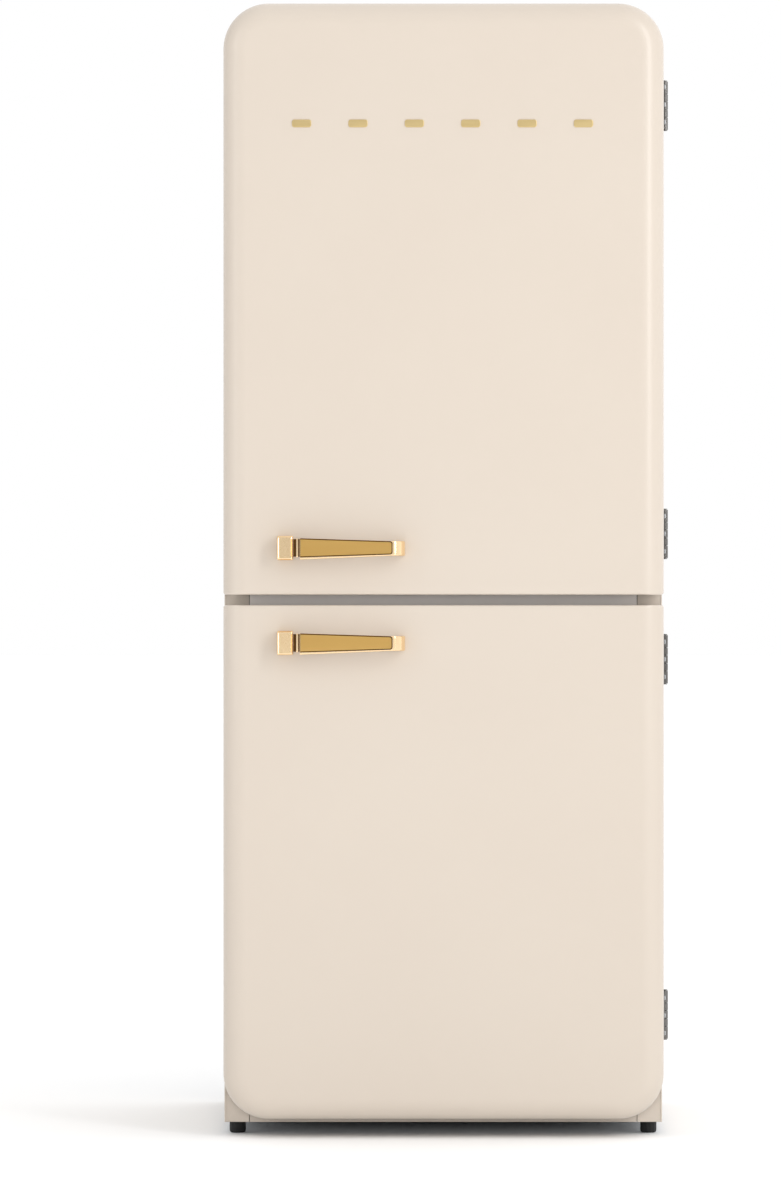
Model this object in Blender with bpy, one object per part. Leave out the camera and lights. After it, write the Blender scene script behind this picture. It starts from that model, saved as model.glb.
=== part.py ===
"""Free-standing two-door fridge-freezer with rounded retro doors, exposed butt hinges and lever handles.

Metres, +Z up. The doors face -Y and hang on hinges at +X. The world origin is on the floor, under the
middle of the appliance's outline. Lengths below with no other word are taken in the cabinet's own
frame: x from its middle, y from the front face of the case, z from the floor.
"""

import math

import bmesh
import bpy
from mathutils import Vector

# Overall sizes
WIDTH = 0.550
HEIGHT = 1.4165
CASE_DEPTH = 0.470
DOOR_DEPTH = 0.052
SEAL_GAP = 0.012
LOWER_DOOR_HEIGHT = 0.642
DOOR_SPLIT = 0.0128
FOOT_HEIGHT = 0.0157
DOOR_SILL = 0.0075
CASE_TOP_STEP = 0.002
CORNER_RADIUS = 0.057
LEAST_ROUND = 0.002
CLEARANCE = 0.0003
OVERSHOOT = 0.010

# Sheet metal and liners
SHEET = 0.0010
SHEET_BEND = 0.0015
FLANGE = 0.031
RAIL_SHEET = 0.0015
RAIL_LIP = 0.004
RAIL_SEAM = 0.0008
BOTTOM_RAIL_HEIGHT = 0.0325
BASE_PLATE = 0.0015
BACK_PANEL = 0.0012
LINER = 0.002
PARTITION = 0.070
TOP_LIP = 0.009
FRIDGE_LIP = 0.005
FREEZER_LIP = 0.013
FLOOR_LIP = 0.014
BACK_WALL = 0.050
FREEZER_BACK_WALL = 0.062
CAVITY_RADIUS = 0.012
LIP_ROUND = 0.002
EVAPORATOR = 0.003
EVAPORATOR_MARGIN = 0.030

# Compressor bay
BAY_DEPTH = 0.140
BAY_HEIGHT = 0.2145
BAY_SHEET = 0.001
STEP_WALL = 0.034
STEP_SLOPE = 0.025
STEP_FOAM = 0.015

# Doors
ROLL_WIDTH = 0.028
ROLL_DEPTH = 0.022
ROLL_STEPS = 6
SPLIT_ROUND = 0.003
DOOR_LIP = 0.014
GASKET_INSET = 0.006
GASKET_WIDTH = 0.018
GASKET_WAIST = 0.004
DYKE_CLEARANCE = 0.006
DYKE_WIDTH = 0.016
DYKE_DRAFT = 0.004
UPPER_DYKE = 0.020
LOWER_DYKE = 0.018

# Door bins
BIN_DEPTH = 0.094
BIN_HEIGHTS = (0.118, 0.072, 0.072)
BIN_WALL = 0.002
BIN_CLEARANCE = 0.003
BIN_FLOOR_SPACE = 0.014

# Handles
HANDLE_FROM_SIDE = 0.068
HANDLE_FROM_SPLIT_UPPER = 0.0581
HANDLE_FROM_SPLIT_LOWER = 0.047
HANDLE_LENGTH = 0.159
HANDLE_REACH = 0.034
HANDLE_BLOCK_WIDTH = 0.0195
HANDLE_BLOCK_HEIGHT = 0.0302
HANDLE_BLOCK_REACH = 0.029
HANDLE_NECK = 0.0085
HANDLE_NECK_HEIGHT = 0.019
GRIP_THICKNESS = 0.008
GRIP_HEIGHT = 0.024
GRIP_END_HEIGHT = 0.017
GRIP_BEND = 0.014

# Hinges
HINGE_HEIGHT = 0.0635
BARREL_RADIUS = 0.0035
PIN_RADIUS = 0.0016
PIN_CLEARANCE = 0.0001
PIN_HEAD = 0.001
PIN_HEAD_RADIUS = 0.0029
END_KNUCKLE = 0.0158
SHORT_KNUCKLE = 0.0094
KNUCKLE_SHY = 0.0004
LEAF_SHEET = 0.0013
LEAF_WIDTH = 0.028
UPPER_HINGE_DROP = 0.1246
UPPER_HINGE_RISE = 0.0765
LOWER_HINGE_DROP = 0.068
LOWER_HINGE_RISE = 0.128

# Feet
FOOT_RADIUS = 0.0103
FOOT_PAD = 0.0142
FOOT_INSET = 0.016
FOOT_SETBACK = 0.030
STUD_RADIUS = 0.004
STUD_LENGTH = 0.028
STUD_CLEARANCE = 0.0005

# Inside the fridge
RIB_WIDTH = 0.009
RIB_THICKNESS = 0.006
RIB_LEAD = 0.010
SHELF_FRONT = 0.095
SHELF_GLASS = 0.004
SHELF_SIDE_GAP = 0.002
CRISPER_HEIGHT = 0.165
CRISPER_DEPTH = 0.290
CRISPER_COVER_SPACE = 0.006
TUB_WALL = 0.0025
TUB_DRAFT = 0.007
TUB_RIM = 0.003
TUB_RIM_HEIGHT = 0.006
TUB_RADIUS = 0.014
TUB_SIDE_GAP = 0.004
SHELF_COUNT = 3

# Inside the freezer
DRAWER_FRONT = 0.038
DRAWER_BACK_GAP = 0.010
DRAWER_TOP_GAP = 0.012

# Lamp, thermostat and door switch
HOUSING_WIDTH = 0.150
HOUSING_DEPTH = 0.140
HOUSING_HEIGHT = 0.038
HOUSING_FRONT = 0.105
LENS_WIDTH = 0.090
LENS_DEPTH = 0.070
LENS_HEIGHT = 0.008
KNOB_RADIUS = 0.014
KNOB_LENGTH = 0.012
SWITCH_WIDTH = 0.016
SWITCH_HEIGHT = 0.034
SWITCH_DEPTH = 0.030
SWITCH_FRONT = 0.020
SWITCH_RISE = 0.400
BUTTON_RADIUS = 0.004
BUTTON_CLEARANCE = 0.0005
BUTTON_HOLD = 0.009

# Cooling parts
COMPRESSOR_LENGTH = 0.160
COMPRESSOR_WIDTH = 0.106
COMPRESSOR_HEIGHT = 0.140
COMPRESSOR_OFFSET = 0.090
COMPRESSOR_RISE = 0.004
RELAY_LENGTH = 0.036
RELAY_HEIGHT = 0.056
RELAY_WIDTH = 0.060
RELAY_GAP = 0.0013
TRAY_LENGTH = 0.150
TRAY_WIDTH = 0.092
TRAY_HEIGHT = 0.026
TRAY_WALL = 0.002
TRAY_RISE = 0.003
DRIER_RADIUS = 0.009
DRIER_LENGTH = 0.105
DRIER_OFFSET = -0.110
DRIER_RISE = 0.030
DRIER_TAPER = 0.012
PIPE_DROP = 0.030
PIPE_BEND = 0.022
COIL_RADIUS = 0.0025
COIL_STANDOFF = 0.0195
COIL_MARGIN = 0.060
COIL_RISER_MARGIN = 0.036
COIL_TOP_MARGIN = 0.085
COIL_BASE_MARGIN = 0.075
COIL_RUNS = 13
GLAND_RADIUS = 0.008
GLAND_TIP_RADIUS = 0.0055
GLAND_LENGTH = 0.026
GLAND_BORE = 0.0037
GLAND_COLLAR = 0.004
GLAND_FROM_SIDE = 0.075
GLAND_RISE = 0.045

# Levels and planes that follow from the sizes
HALF = WIDTH / 2
CASE_TOP = HEIGHT - CASE_TOP_STEP
LOWER_DOOR_LOW = FOOT_HEIGHT + DOOR_SILL
LOWER_DOOR_HIGH = LOWER_DOOR_LOW + LOWER_DOOR_HEIGHT
UPPER_DOOR_LOW = LOWER_DOOR_HIGH + DOOR_SPLIT
SPLIT_MIDDLE = (LOWER_DOOR_HIGH + UPPER_DOOR_LOW) / 2
DOOR_FRONT = -(SEAL_GAP + DOOR_DEPTH)
FOAM_FRONT = LINER + CLEARANCE
BAY_FRONT = CASE_DEPTH - BAY_DEPTH
BAY_TOP = FOOT_HEIGHT + BAY_HEIGHT
FLOOR_TOP = FOOT_HEIGHT + BASE_PLATE
HINGE_X = HALF + BARREL_RADIUS
HINGE_Y = -SEAL_GAP / 2
FRONT_REACH = DOOR_FRONT - HANDLE_REACH
REAR_REACH = CASE_DEPTH + COIL_STANDOFF + COIL_RADIUS
SHIFT_X = -BARREL_RADIUS
SHIFT_Y = -(FRONT_REACH + REAR_REACH) / 2


class Compartment:
    """One cold space and the door that shuts it; round_end is where that door has round corners."""

    def __init__(self, round_end, door_low, door_high, low, high, half, depth):
        self.round_end = round_end
        self.door_low = door_low
        self.door_high = door_high
        self.low = low
        self.high = high
        self.half = half
        self.depth = depth

    def steps(self):
        """Steps in the low corners and in the high corners: more where the corners are round."""
        return (2, 6) if self.round_end == "top" else (6, 2)

    def cavity(self, grow=0.0):
        """(x, z) points round the space between the liner's walls, grown outwards."""
        radius = max(CAVITY_RADIUS + grow, LEAST_ROUND)
        box = (-self.half - grow, self.half + grow, self.low - grow, self.high + grow)
        return rounded(*box, radius, radius, *self.steps())

    def door(self, inset, split_inset=None):
        """(x, z) points round the door, set in from its edges; the split edge may have its own inset."""
        split = inset if split_inset is None else split_inset
        radius = max(CORNER_RADIUS - inset, SPLIT_ROUND)
        left, right = inset - HALF, HALF - inset
        if self.round_end == "top":
            box = (left, right, self.door_low + split, self.door_high - inset)
            return rounded(*box, SPLIT_ROUND, radius, *self.steps())
        box = (left, right, self.door_low + inset, self.door_high - split)
        return rounded(*box, radius, SPLIT_ROUND, *self.steps())


FRIDGE = Compartment(
    "top",
    UPPER_DOOR_LOW,
    HEIGHT,
    SPLIT_MIDDLE + PARTITION / 2,
    CASE_TOP - FLANGE - TOP_LIP,
    HALF - FLANGE - FRIDGE_LIP,
    CASE_DEPTH - BACK_WALL,
)
FREEZER = Compartment(
    "bottom",
    LOWER_DOOR_LOW,
    LOWER_DOOR_HIGH,
    FOOT_HEIGHT + BOTTOM_RAIL_HEIGHT + FLOOR_LIP,
    SPLIT_MIDDLE - PARTITION / 2,
    HALF - FLANGE - FREEZER_LIP,
    CASE_DEPTH - FREEZER_BACK_WALL,
)
STEP_TOP = BAY_TOP + STEP_WALL
STEP_Y = BAY_FRONT - BAY_SHEET - STEP_SLOPE - STEP_FOAM
HOUSING_LOW = FRIDGE.high - CLEARANCE - HOUSING_HEIGHT
CRISPER_COVER = FRIDGE.low + CRISPER_HEIGHT + CRISPER_COVER_SPACE
SHELF_PITCH = (HOUSING_LOW - LENS_HEIGHT - CRISPER_COVER) / (SHELF_COUNT + 1)
DRAWER_LEVEL = STEP_TOP + CAVITY_RADIUS + RIB_THICKNESS
DRAWER_PITCH = (FREEZER.high - DRAWER_LEVEL) / 2


# Scene and materials


def clear_scene():
    for obj in list(bpy.data.objects):
        bpy.data.objects.remove(obj, do_unlink=True)


def material(name, colour, roughness, metallic=0.0, alpha=1.0):
    """A Principled material; its colour is given as sRGB numbers from 0 to 255."""
    made = bpy.data.materials.new(name)
    made.use_nodes = True
    shader = made.node_tree.nodes["Principled BSDF"]
    linear = [((c / 255 + 0.055) / 1.055) ** 2.4 if c > 10 else c / 255 / 12.92 for c in colour]
    shader.inputs["Base Color"].default_value = (*linear, 1.0)
    shader.inputs["Roughness"].default_value = roughness
    shader.inputs["Metallic"].default_value = metallic
    shader.inputs["Alpha"].default_value = alpha
    return made


def empty(name, location, parent=None):
    made = bpy.data.objects.new(name, None)
    made.empty_display_size = 0.05
    made.location = location
    made.parent = parent
    bpy.context.collection.objects.link(made)
    return made


# Shapes


def rounded(left, right, low, high, low_radius, high_radius, low_steps=3, high_steps=3):
    """Points round a rectangle with rounded corners, anticlockwise from its low left corner."""
    corners = (
        (left + low_radius, low + low_radius, low_radius, 180, low_steps),
        (right - low_radius, low + low_radius, low_radius, 270, low_steps),
        (right - high_radius, high - high_radius, high_radius, 0, high_steps),
        (left + high_radius, high - high_radius, high_radius, 90, high_steps),
    )
    points = []
    for u, v, radius, start, steps in corners:
        for step in range(steps + 1):
            angle = math.radians(start + 90 * step / steps)
            points.append((u + radius * math.cos(angle), v + radius * math.sin(angle)))
    return points


def circle(radius, sides=20):
    return [
        (radius * math.cos(2 * math.pi * side / sides), radius * math.sin(2 * math.pi * side / sides))
        for side in range(sides)
    ]


def upright(points, y):
    """A ring of (x, z) points at one depth."""
    return [(x, y, z) for x, z in points]


def flat(points, z, centre=(0.0, 0.0)):
    """A ring of (x, y) points at one height."""
    return [(x + centre[0], y + centre[1], z) for x, y in points]


def loft(rings, closed=False):
    """Skin rings of equal length in order; an open run gets a cap at each end, a closed one joins up."""
    bm = bmesh.new()
    loops = [[bm.verts.new(point) for point in ring] for ring in rings]
    pairs = list(zip(loops, loops[1:]))
    if closed:
        pairs.append((loops[-1], loops[0]))
    for near, far in pairs:
        for i in range(len(near)):
            j = (i + 1) % len(near)
            bm.faces.new((near[i], near[j], far[j], far[i]))
    if not closed:
        bm.faces.new(loops[0])
        bm.faces.new(loops[-1])
    return bm


def box(low, high):
    """A block between two corners."""
    corners = [(low[0], low[1]), (high[0], low[1]), (high[0], high[1]), (low[0], high[1])]
    return loft([flat(corners, low[2]), flat(corners, high[2])])


def joined(parts):
    """Several separate blocks in one mesh, for use as a Boolean's operand."""
    bm = bmesh.new()
    for part in parts:
        mesh = bpy.data.meshes.new("operand")
        bmesh.ops.recalc_face_normals(part, faces=part.faces)
        part.to_mesh(mesh)
        part.free()
        bm.from_mesh(mesh)
        bpy.data.meshes.remove(mesh)
    return bm


def solid(name, bm, look, pivot, bevel=0.0, sharp=35):
    """Turn the mesh into a named part that hangs on a pivot."""
    bmesh.ops.recalc_face_normals(bm, faces=bm.faces)
    bmesh.ops.translate(bm, verts=bm.verts, vec=-pivot.location)
    mesh = bpy.data.meshes.new(name)
    bm.to_mesh(mesh)
    bm.free()
    mesh.shade_smooth()
    mesh.set_sharp_from_angle(angle=math.radians(sharp))
    mesh.materials.append(look)
    part = bpy.data.objects.new(name, mesh)
    part.parent = pivot
    bpy.context.collection.objects.link(part)
    if bevel:
        edge = part.modifiers.new("rounded edges", "BEVEL")
        edge.width = bevel
        edge.segments = 1
        edge.limit_method = "ANGLE"
    return part


def boolean(part, name, bm, operation):
    """Cut or join a hidden helper shape."""
    bmesh.ops.recalc_face_normals(bm, faces=bm.faces)
    bmesh.ops.translate(bm, verts=bm.verts, vec=-part.parent.location)
    mesh = bpy.data.meshes.new(name)
    bm.to_mesh(mesh)
    bm.free()
    helper = bpy.data.objects.new(name, mesh)
    helper.parent = part.parent
    helper.hide_render = True
    helper.display_type = "WIRE"
    bpy.context.collection.objects.link(helper)
    step = part.modifiers.new(name, "BOOLEAN")
    step.operation = operation
    step.solver = "EXACT"
    step.object = helper


def cylinder(radius, start, end, sides=20):
    """A round bar between two points on one axis, along Y or Z."""
    if start[2] == end[2]:
        rings = [
            [(start[0] + u, y, start[2] + v) for u, v in circle(radius, sides)] for y in (start[1], end[1])
        ]
        return loft(rings)
    return loft([flat(circle(radius, sides), z, start) for z in (start[2], end[2])])


def bent(points, radius, steps=3):
    """The path through corner points, with each corner rounded by a curve that starts a radius before it."""
    path = [Vector(points[0])]
    for before, corner, after in zip(points, points[1:], points[2:]):
        before, corner, after = Vector(before), Vector(corner), Vector(after)
        start = corner + (before - corner).normalized() * radius
        end = corner + (after - corner).normalized() * radius
        for step in range(steps + 1):
            t = step / steps
            path.append(start * (1 - t) ** 2 + corner * 2 * t * (1 - t) + end * t**2)
    path.append(Vector(points[-1]))
    return path


def tube(name, path, radius, look, pivot, resolution=1):
    """A pipe as a bevelled curve with filled ends."""
    curve = bpy.data.curves.new(name, "CURVE")
    curve.dimensions = "3D"
    curve.bevel_depth = radius
    curve.bevel_resolution = resolution
    curve.use_fill_caps = True
    spline = curve.splines.new("POLY")
    spline.points.add(len(path) - 1)
    for point, place in zip(spline.points, path):
        point.co = (*(place - pivot.location), 1.0)
    curve.materials.append(look)
    pipe = bpy.data.objects.new(name, curve)
    pipe.parent = pivot
    bpy.context.collection.objects.link(pipe)
    return pipe


def tub(name, half, front, back, low, high, look, pivot, wall=TUB_WALL):
    """An open-topped drawer or bin with drafted walls and a turned-out rim."""

    def level(inset, z):
        edges = (inset - half, half - inset, front + inset, back - inset)
        radius = max(TUB_RADIUS - inset, wall)
        return flat(rounded(*edges, radius, radius), z)

    rim = high - TUB_RIM_HEIGHT
    rings = [
        level(TUB_RIM + TUB_DRAFT, low),
        level(TUB_RIM, rim),
        level(0.0, rim),
        level(0.0, high),
        level(TUB_RIM + wall, high),
        level(TUB_RIM + TUB_DRAFT + wall, low + wall),
    ]
    return solid(name, loft(rings), look, pivot)


# Case


def arch(offset):
    """(x, z) points up the case's left side, over its top and down its right side, set in from its skin."""
    radius = CORNER_RADIUS - offset
    side = HALF - offset
    centre_x = HALF - CORNER_RADIUS
    centre_z = CASE_TOP - CORNER_RADIUS
    steps = 6
    left = [math.radians(180 - 90 * step / steps) for step in range(steps + 1)]
    right = [math.radians(90 - 90 * step / steps) for step in range(steps + 1)]
    points = [(-side, FOOT_HEIGHT)]
    points += [(-centre_x + radius * math.cos(a), centre_z + radius * math.sin(a)) for a in left]
    points += [(centre_x + radius * math.cos(a), centre_z + radius * math.sin(a)) for a in right]
    points.append((side, FOOT_HEIGHT))
    return points


def make_outer_case(look, pivot):
    """One bent sheet: both sides and the top, with a flat flange turned in all round the front."""
    section = (
        (0.0, CASE_DEPTH),
        (0.0, SHEET_BEND),
        (SHEET_BEND, 0.0),
        (FLANGE, 0.0),
        (FLANGE, SHEET),
        (SHEET, SHEET),
        (SHEET, CASE_DEPTH),
    )
    lines = [upright(arch(offset), y) for offset, y in section]
    solid("outer_case", loft(list(zip(*lines))), look, pivot)


def make_back_panel(look, pivot):
    inset = SHEET + CLEARANCE
    edges = (inset - HALF, HALF - inset, BAY_TOP, CASE_TOP - inset)
    outline = rounded(*edges, CAVITY_RADIUS / 4, CORNER_RADIUS - inset, 1, 6)
    rings = [upright(outline, CASE_DEPTH - BACK_PANEL), upright(outline, CASE_DEPTH)]
    solid("back_panel", loft(rings), look, pivot)


def make_base(look, paint, pivot):
    """Base plate with its four stud holes, and the front rails that close the gaps between the flanges."""
    inset = SHEET + CLEARANCE
    low = (inset - HALF, RAIL_SHEET + CLEARANCE, FOOT_HEIGHT)
    high = (HALF - inset, CASE_DEPTH - BASE_PLATE, FLOOR_TOP)
    plate = solid("base_plate", box(low, high), look, pivot)
    boolean(plate, "stud_holes", stud_cutters(FOOT_HEIGHT - OVERSHOOT, foot_places()), "DIFFERENCE")
    end = HALF - FLANGE - RAIL_SEAM
    for name, bottom, top in (
        ("bottom_rail", FOOT_HEIGHT, FOOT_HEIGHT + BOTTOM_RAIL_HEIGHT),
        ("mullion_rail", FREEZER.high + RAIL_LIP, FRIDGE.low - RAIL_LIP),
    ):
        solid(name, box((-end, 0.0, bottom), (end, RAIL_SHEET, top)), paint, pivot, bevel=0.0004)


def foot_places():
    x = HALF - FOOT_INSET
    return [(side * x, y) for y in (FOOT_SETBACK, CASE_DEPTH - FOOT_SETBACK) for side in (-1, 1)]


def stud_cutters(low, places):
    top = FOOT_PAD + STUD_LENGTH + STUD_CLEARANCE
    radius = STUD_RADIUS + STUD_CLEARANCE
    return joined([cylinder(radius, (x, y, low), (x, y, top), 12) for x, y in places])


def make_feet(look, pivots):
    """Levelling feet: a round pad on a screwed stud. The front pair turns, the rear pair stays put."""
    for name, (x, y) in zip(
        ("front_foot_left", "front_foot_right", "rear_foot_left", "rear_foot_right"), foot_places()
    ):
        rings = [
            flat(circle(radius, 16), z, (x, y))
            for radius, z in (
                (FOOT_RADIUS - 0.002, 0.0),
                (FOOT_RADIUS, 0.002),
                (FOOT_RADIUS, FOOT_PAD),
                (STUD_RADIUS, FOOT_PAD),
                (STUD_RADIUS, FOOT_PAD + STUD_LENGTH),
            )
        ]
        solid(name, loft(rings), look, pivots[name])


def make_bay_panel(look, pivot):
    """Bent sheet between the foam and the compressor bay: an upright and a ceiling."""
    end = HALF - SHEET - CLEARANCE
    back = CASE_DEPTH - BACK_PANEL - CLEARANCE
    outline = (
        (BAY_FRONT, FLOOR_TOP + CLEARANCE),
        (BAY_FRONT, BAY_TOP),
        (back, BAY_TOP),
        (back, BAY_TOP + BAY_SHEET),
        (BAY_FRONT - BAY_SHEET, BAY_TOP + BAY_SHEET),
        (BAY_FRONT - BAY_SHEET, FLOOR_TOP + CLEARANCE),
    )
    solid("compressor_bay_panel", loft([[(x, y, z) for y, z in outline] for x in (-end, end)]), look, pivot)


def freezer_rings(grow, front, back):
    """Rings of the freezer space from front to back, with its floor stepped up over the compressor bay."""
    points = FREEZER.cavity(grow)
    middle = (FREEZER.low + FREEZER.high) / 2
    raised = [(x, z + STEP_TOP - FREEZER.low if z < middle else z) for x, z in points]
    return [
        upright(points, front),
        upright(points, STEP_Y + grow),
        upright(raised, STEP_Y + STEP_SLOPE + grow),
        upright(raised, back),
    ]


def liner_lip(low, high, high_radius, steps):
    side = HALF - FLANGE - CLEARANCE
    edges = (-side, side, low + CLEARANCE, high - CLEARANCE)
    return rounded(*edges, SPLIT_ROUND, high_radius, *steps)


def make_liners(look, pivot):
    """Moulded inner shells; ribs on their side walls carry the shelves and the drawers."""
    top_radius = CORNER_RADIUS - FLANGE - CLEARANCE
    lip = liner_lip(FRIDGE.low - RAIL_LIP, CASE_TOP - FLANGE, top_radius, FRIDGE.steps())
    rings = [
        upright(FRIDGE.cavity(), FRIDGE.depth),
        upright(FRIDGE.cavity(), LIP_ROUND),
        upright(FRIDGE.cavity(LIP_ROUND), 0.0),
        upright(lip, 0.0),
        upright(lip, LINER),
        upright(FRIDGE.cavity(LINER), LINER),
        upright(FRIDGE.cavity(LINER), FRIDGE.depth + LINER),
    ]
    fridge = solid("fridge_liner", loft(rings), look, pivot)
    levels = [CRISPER_COVER + SHELF_PITCH * shelf for shelf in range(SHELF_COUNT + 1)]
    boolean(fridge, "shelf_ribs", ribs(FRIDGE, levels, SHELF_FRONT - RIB_LEAD), "UNION")

    lip = liner_lip(FOOT_HEIGHT + BOTTOM_RAIL_HEIGHT, FREEZER.high + RAIL_LIP, SPLIT_ROUND, FREEZER.steps())
    inside = freezer_rings(0.0, LIP_ROUND, FREEZER.depth)
    outside = freezer_rings(LINER, LINER, FREEZER.depth + LINER)
    rings = inside[::-1]
    rings += [upright(FREEZER.cavity(LIP_ROUND), 0.0), upright(lip, 0.0), upright(lip, LINER)]
    rings += outside
    freezer = solid("freezer_liner", loft(rings), look, pivot)
    levels = [DRAWER_LEVEL, DRAWER_LEVEL + DRAWER_PITCH]
    boolean(freezer, "drawer_ribs", ribs(FREEZER, levels, DRAWER_FRONT), "UNION")


def ribs(space, levels, front):
    """A pair of ledges for each level, sunk halfway into the liner's wall."""
    blocks = []
    for level in levels:
        for side in (-1, 1):
            across = sorted((side * (space.half + LINER / 2), side * (space.half - RIB_WIDTH)))
            low = (across[0], front, level - RIB_THICKNESS)
            high = (across[1], space.depth - LINER, level)
            blocks.append(box(low, high))
    return joined(blocks)


def make_foam(look, pivot):
    """Rigid foam filling the case, hollowed for both liners, the compressor bay and the front studs."""
    inset = SHEET + CLEARANCE
    low = FLOOR_TOP + CLEARANCE
    edges = (inset - HALF, HALF - inset, low, CASE_TOP - inset)
    outline = rounded(*edges, SPLIT_ROUND, CORNER_RADIUS - inset, 1, 6)
    back = CASE_DEPTH - BACK_PANEL - CLEARANCE
    foam = solid("insulation_foam", loft([upright(outline, FOAM_FRONT), upright(outline, back)]), look, pivot)
    grow = LINER + CLEARANCE
    pocket = [
        upright(FRIDGE.cavity(grow), -OVERSHOOT),
        upright(FRIDGE.cavity(grow), FRIDGE.depth + grow + EVAPORATOR + CLEARANCE),
    ]
    boolean(foam, "fridge_pocket", loft(pocket), "DIFFERENCE")
    pocket = loft(freezer_rings(grow, -OVERSHOOT, FREEZER.depth + grow))
    boolean(foam, "freezer_pocket", pocket, "DIFFERENCE")
    corner = (HALF, CASE_DEPTH + OVERSHOOT, BAY_TOP + BAY_SHEET + CLEARANCE)
    bay = box((-HALF, BAY_FRONT - BAY_SHEET - CLEARANCE, FOOT_HEIGHT - OVERSHOOT), corner)
    boolean(foam, "bay", bay, "DIFFERENCE")
    boolean(foam, "front_studs", stud_cutters(FOOT_HEIGHT, foot_places()[:2]), "DIFFERENCE")


def make_evaporator(look, pivot):
    """Roll-bond plate clamped behind the fridge liner."""
    margin = EVAPORATOR_MARGIN
    front = FRIDGE.depth + LINER + CLEARANCE
    low = (margin - FRIDGE.half, front, FRIDGE.low + margin)
    high = (FRIDGE.half - margin, front + EVAPORATOR, FRIDGE.high - margin)
    solid("evaporator_plate", box(low, high), look, pivot)


# Inside fittings


def make_shelves(glass, pivot):
    names = ["crisper_cover"] + [f"glass_shelf_{number}" for number in range(1, SHELF_COUNT + 1)]
    side = FRIDGE.half - SHELF_SIDE_GAP
    for number, name in enumerate(names):
        low = CRISPER_COVER + SHELF_PITCH * number + CLEARANCE
        corners = (-side, SHELF_FRONT, low), (side, FRIDGE.depth - 2 * LINER, low + SHELF_GLASS)
        solid(name, box(*corners), glass, pivot, bevel=0.0008)


def make_drawers(clear, pivots):
    half = FRIDGE.half - TUB_SIDE_GAP
    low = FRIDGE.low + CLEARANCE
    ends = SHELF_FRONT, SHELF_FRONT + CRISPER_DEPTH
    high = FRIDGE.low + CRISPER_HEIGHT - RIB_THICKNESS
    tub("crisper_drawer", half, *ends, low, high, clear, pivots["crisper_drawer"])
    half = FREEZER.half - TUB_SIDE_GAP
    rows = (
        ("freezer_drawer_1", FREEZER.low, DRAWER_LEVEL - RIB_THICKNESS, STEP_Y),
        ("freezer_drawer_2", DRAWER_LEVEL, DRAWER_LEVEL + DRAWER_PITCH - RIB_THICKNESS, FREEZER.depth),
        ("freezer_drawer_3", DRAWER_LEVEL + DRAWER_PITCH, FREEZER.high, FREEZER.depth),
    )
    for name, floor, ceiling, back in rows:
        ends = DRAWER_FRONT, back - DRAWER_BACK_GAP
        tub(name, half, *ends, floor + CLEARANCE, ceiling - DRAWER_TOP_GAP, clear, pivots[name])


def make_thermostat(plastic, clear, pivots):
    """Housing under the fridge ceiling, with a lamp lens below it and a control knob on its face."""
    half = HOUSING_WIDTH / 2
    back = HOUSING_FRONT + HOUSING_DEPTH
    low = (-half, HOUSING_FRONT, HOUSING_LOW)
    high = (half, back, FRIDGE.high - CLEARANCE)
    solid("thermostat_housing", box(low, high), plastic, pivots["case"], bevel=0.004)
    lens_back = back - (HOUSING_DEPTH - LENS_DEPTH) / 2
    top = HOUSING_LOW - CLEARANCE
    low = (-LENS_WIDTH / 2, lens_back - LENS_DEPTH, top - LENS_HEIGHT + CLEARANCE)
    solid("lamp_lens", box(low, (LENS_WIDTH / 2, lens_back, top)), clear, pivots["case"], bevel=0.002)
    knob = pivots["thermostat_knob"]
    x, y, z = knob.location
    profile = (
        (KNOB_RADIUS, y),
        (KNOB_RADIUS, y - KNOB_LENGTH * 0.3),
        (KNOB_RADIUS * 0.86, y - KNOB_LENGTH * 0.35),
        (KNOB_RADIUS * 0.8, y - KNOB_LENGTH),
    )
    rings = [[(x + u, depth, z + v) for u, v in circle(radius, 20)] for radius, depth in profile]
    solid("thermostat_knob", loft(rings), plastic, knob)


def make_door_switch(plastic, dark, pivots):
    """Lamp switch on the fridge's hinge-side wall; the door's rim holds its button in."""
    button = pivots["door_switch_button"]
    x, tip, z = button.location
    radius = BUTTON_RADIUS + BUTTON_CLEARANCE
    right = FRIDGE.half - CLEARANCE
    low = (right - SWITCH_WIDTH, SWITCH_FRONT, z - SWITCH_HEIGHT / 2)
    high = (right, SWITCH_FRONT + SWITCH_DEPTH, z + SWITCH_HEIGHT / 2)
    switch = solid("door_switch", box(low, high), plastic, pivots["case"])
    end = SWITCH_FRONT + BUTTON_HOLD + BUTTON_CLEARANCE
    bore = cylinder(radius, (x, SWITCH_FRONT - OVERSHOOT, z), (x, end, z), 16)
    boolean(switch, "button_bore", bore, "DIFFERENCE")
    profile = (
        (BUTTON_RADIUS * 0.6, tip),
        (BUTTON_RADIUS, tip + 0.0015),
        (BUTTON_RADIUS, SWITCH_FRONT + BUTTON_HOLD),
    )
    rings = [[(x + u, y, z + v) for u, v in circle(r, 12)] for r, y in profile]
    solid("door_switch_button", loft(rings), dark, button)


# Cooling parts


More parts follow.
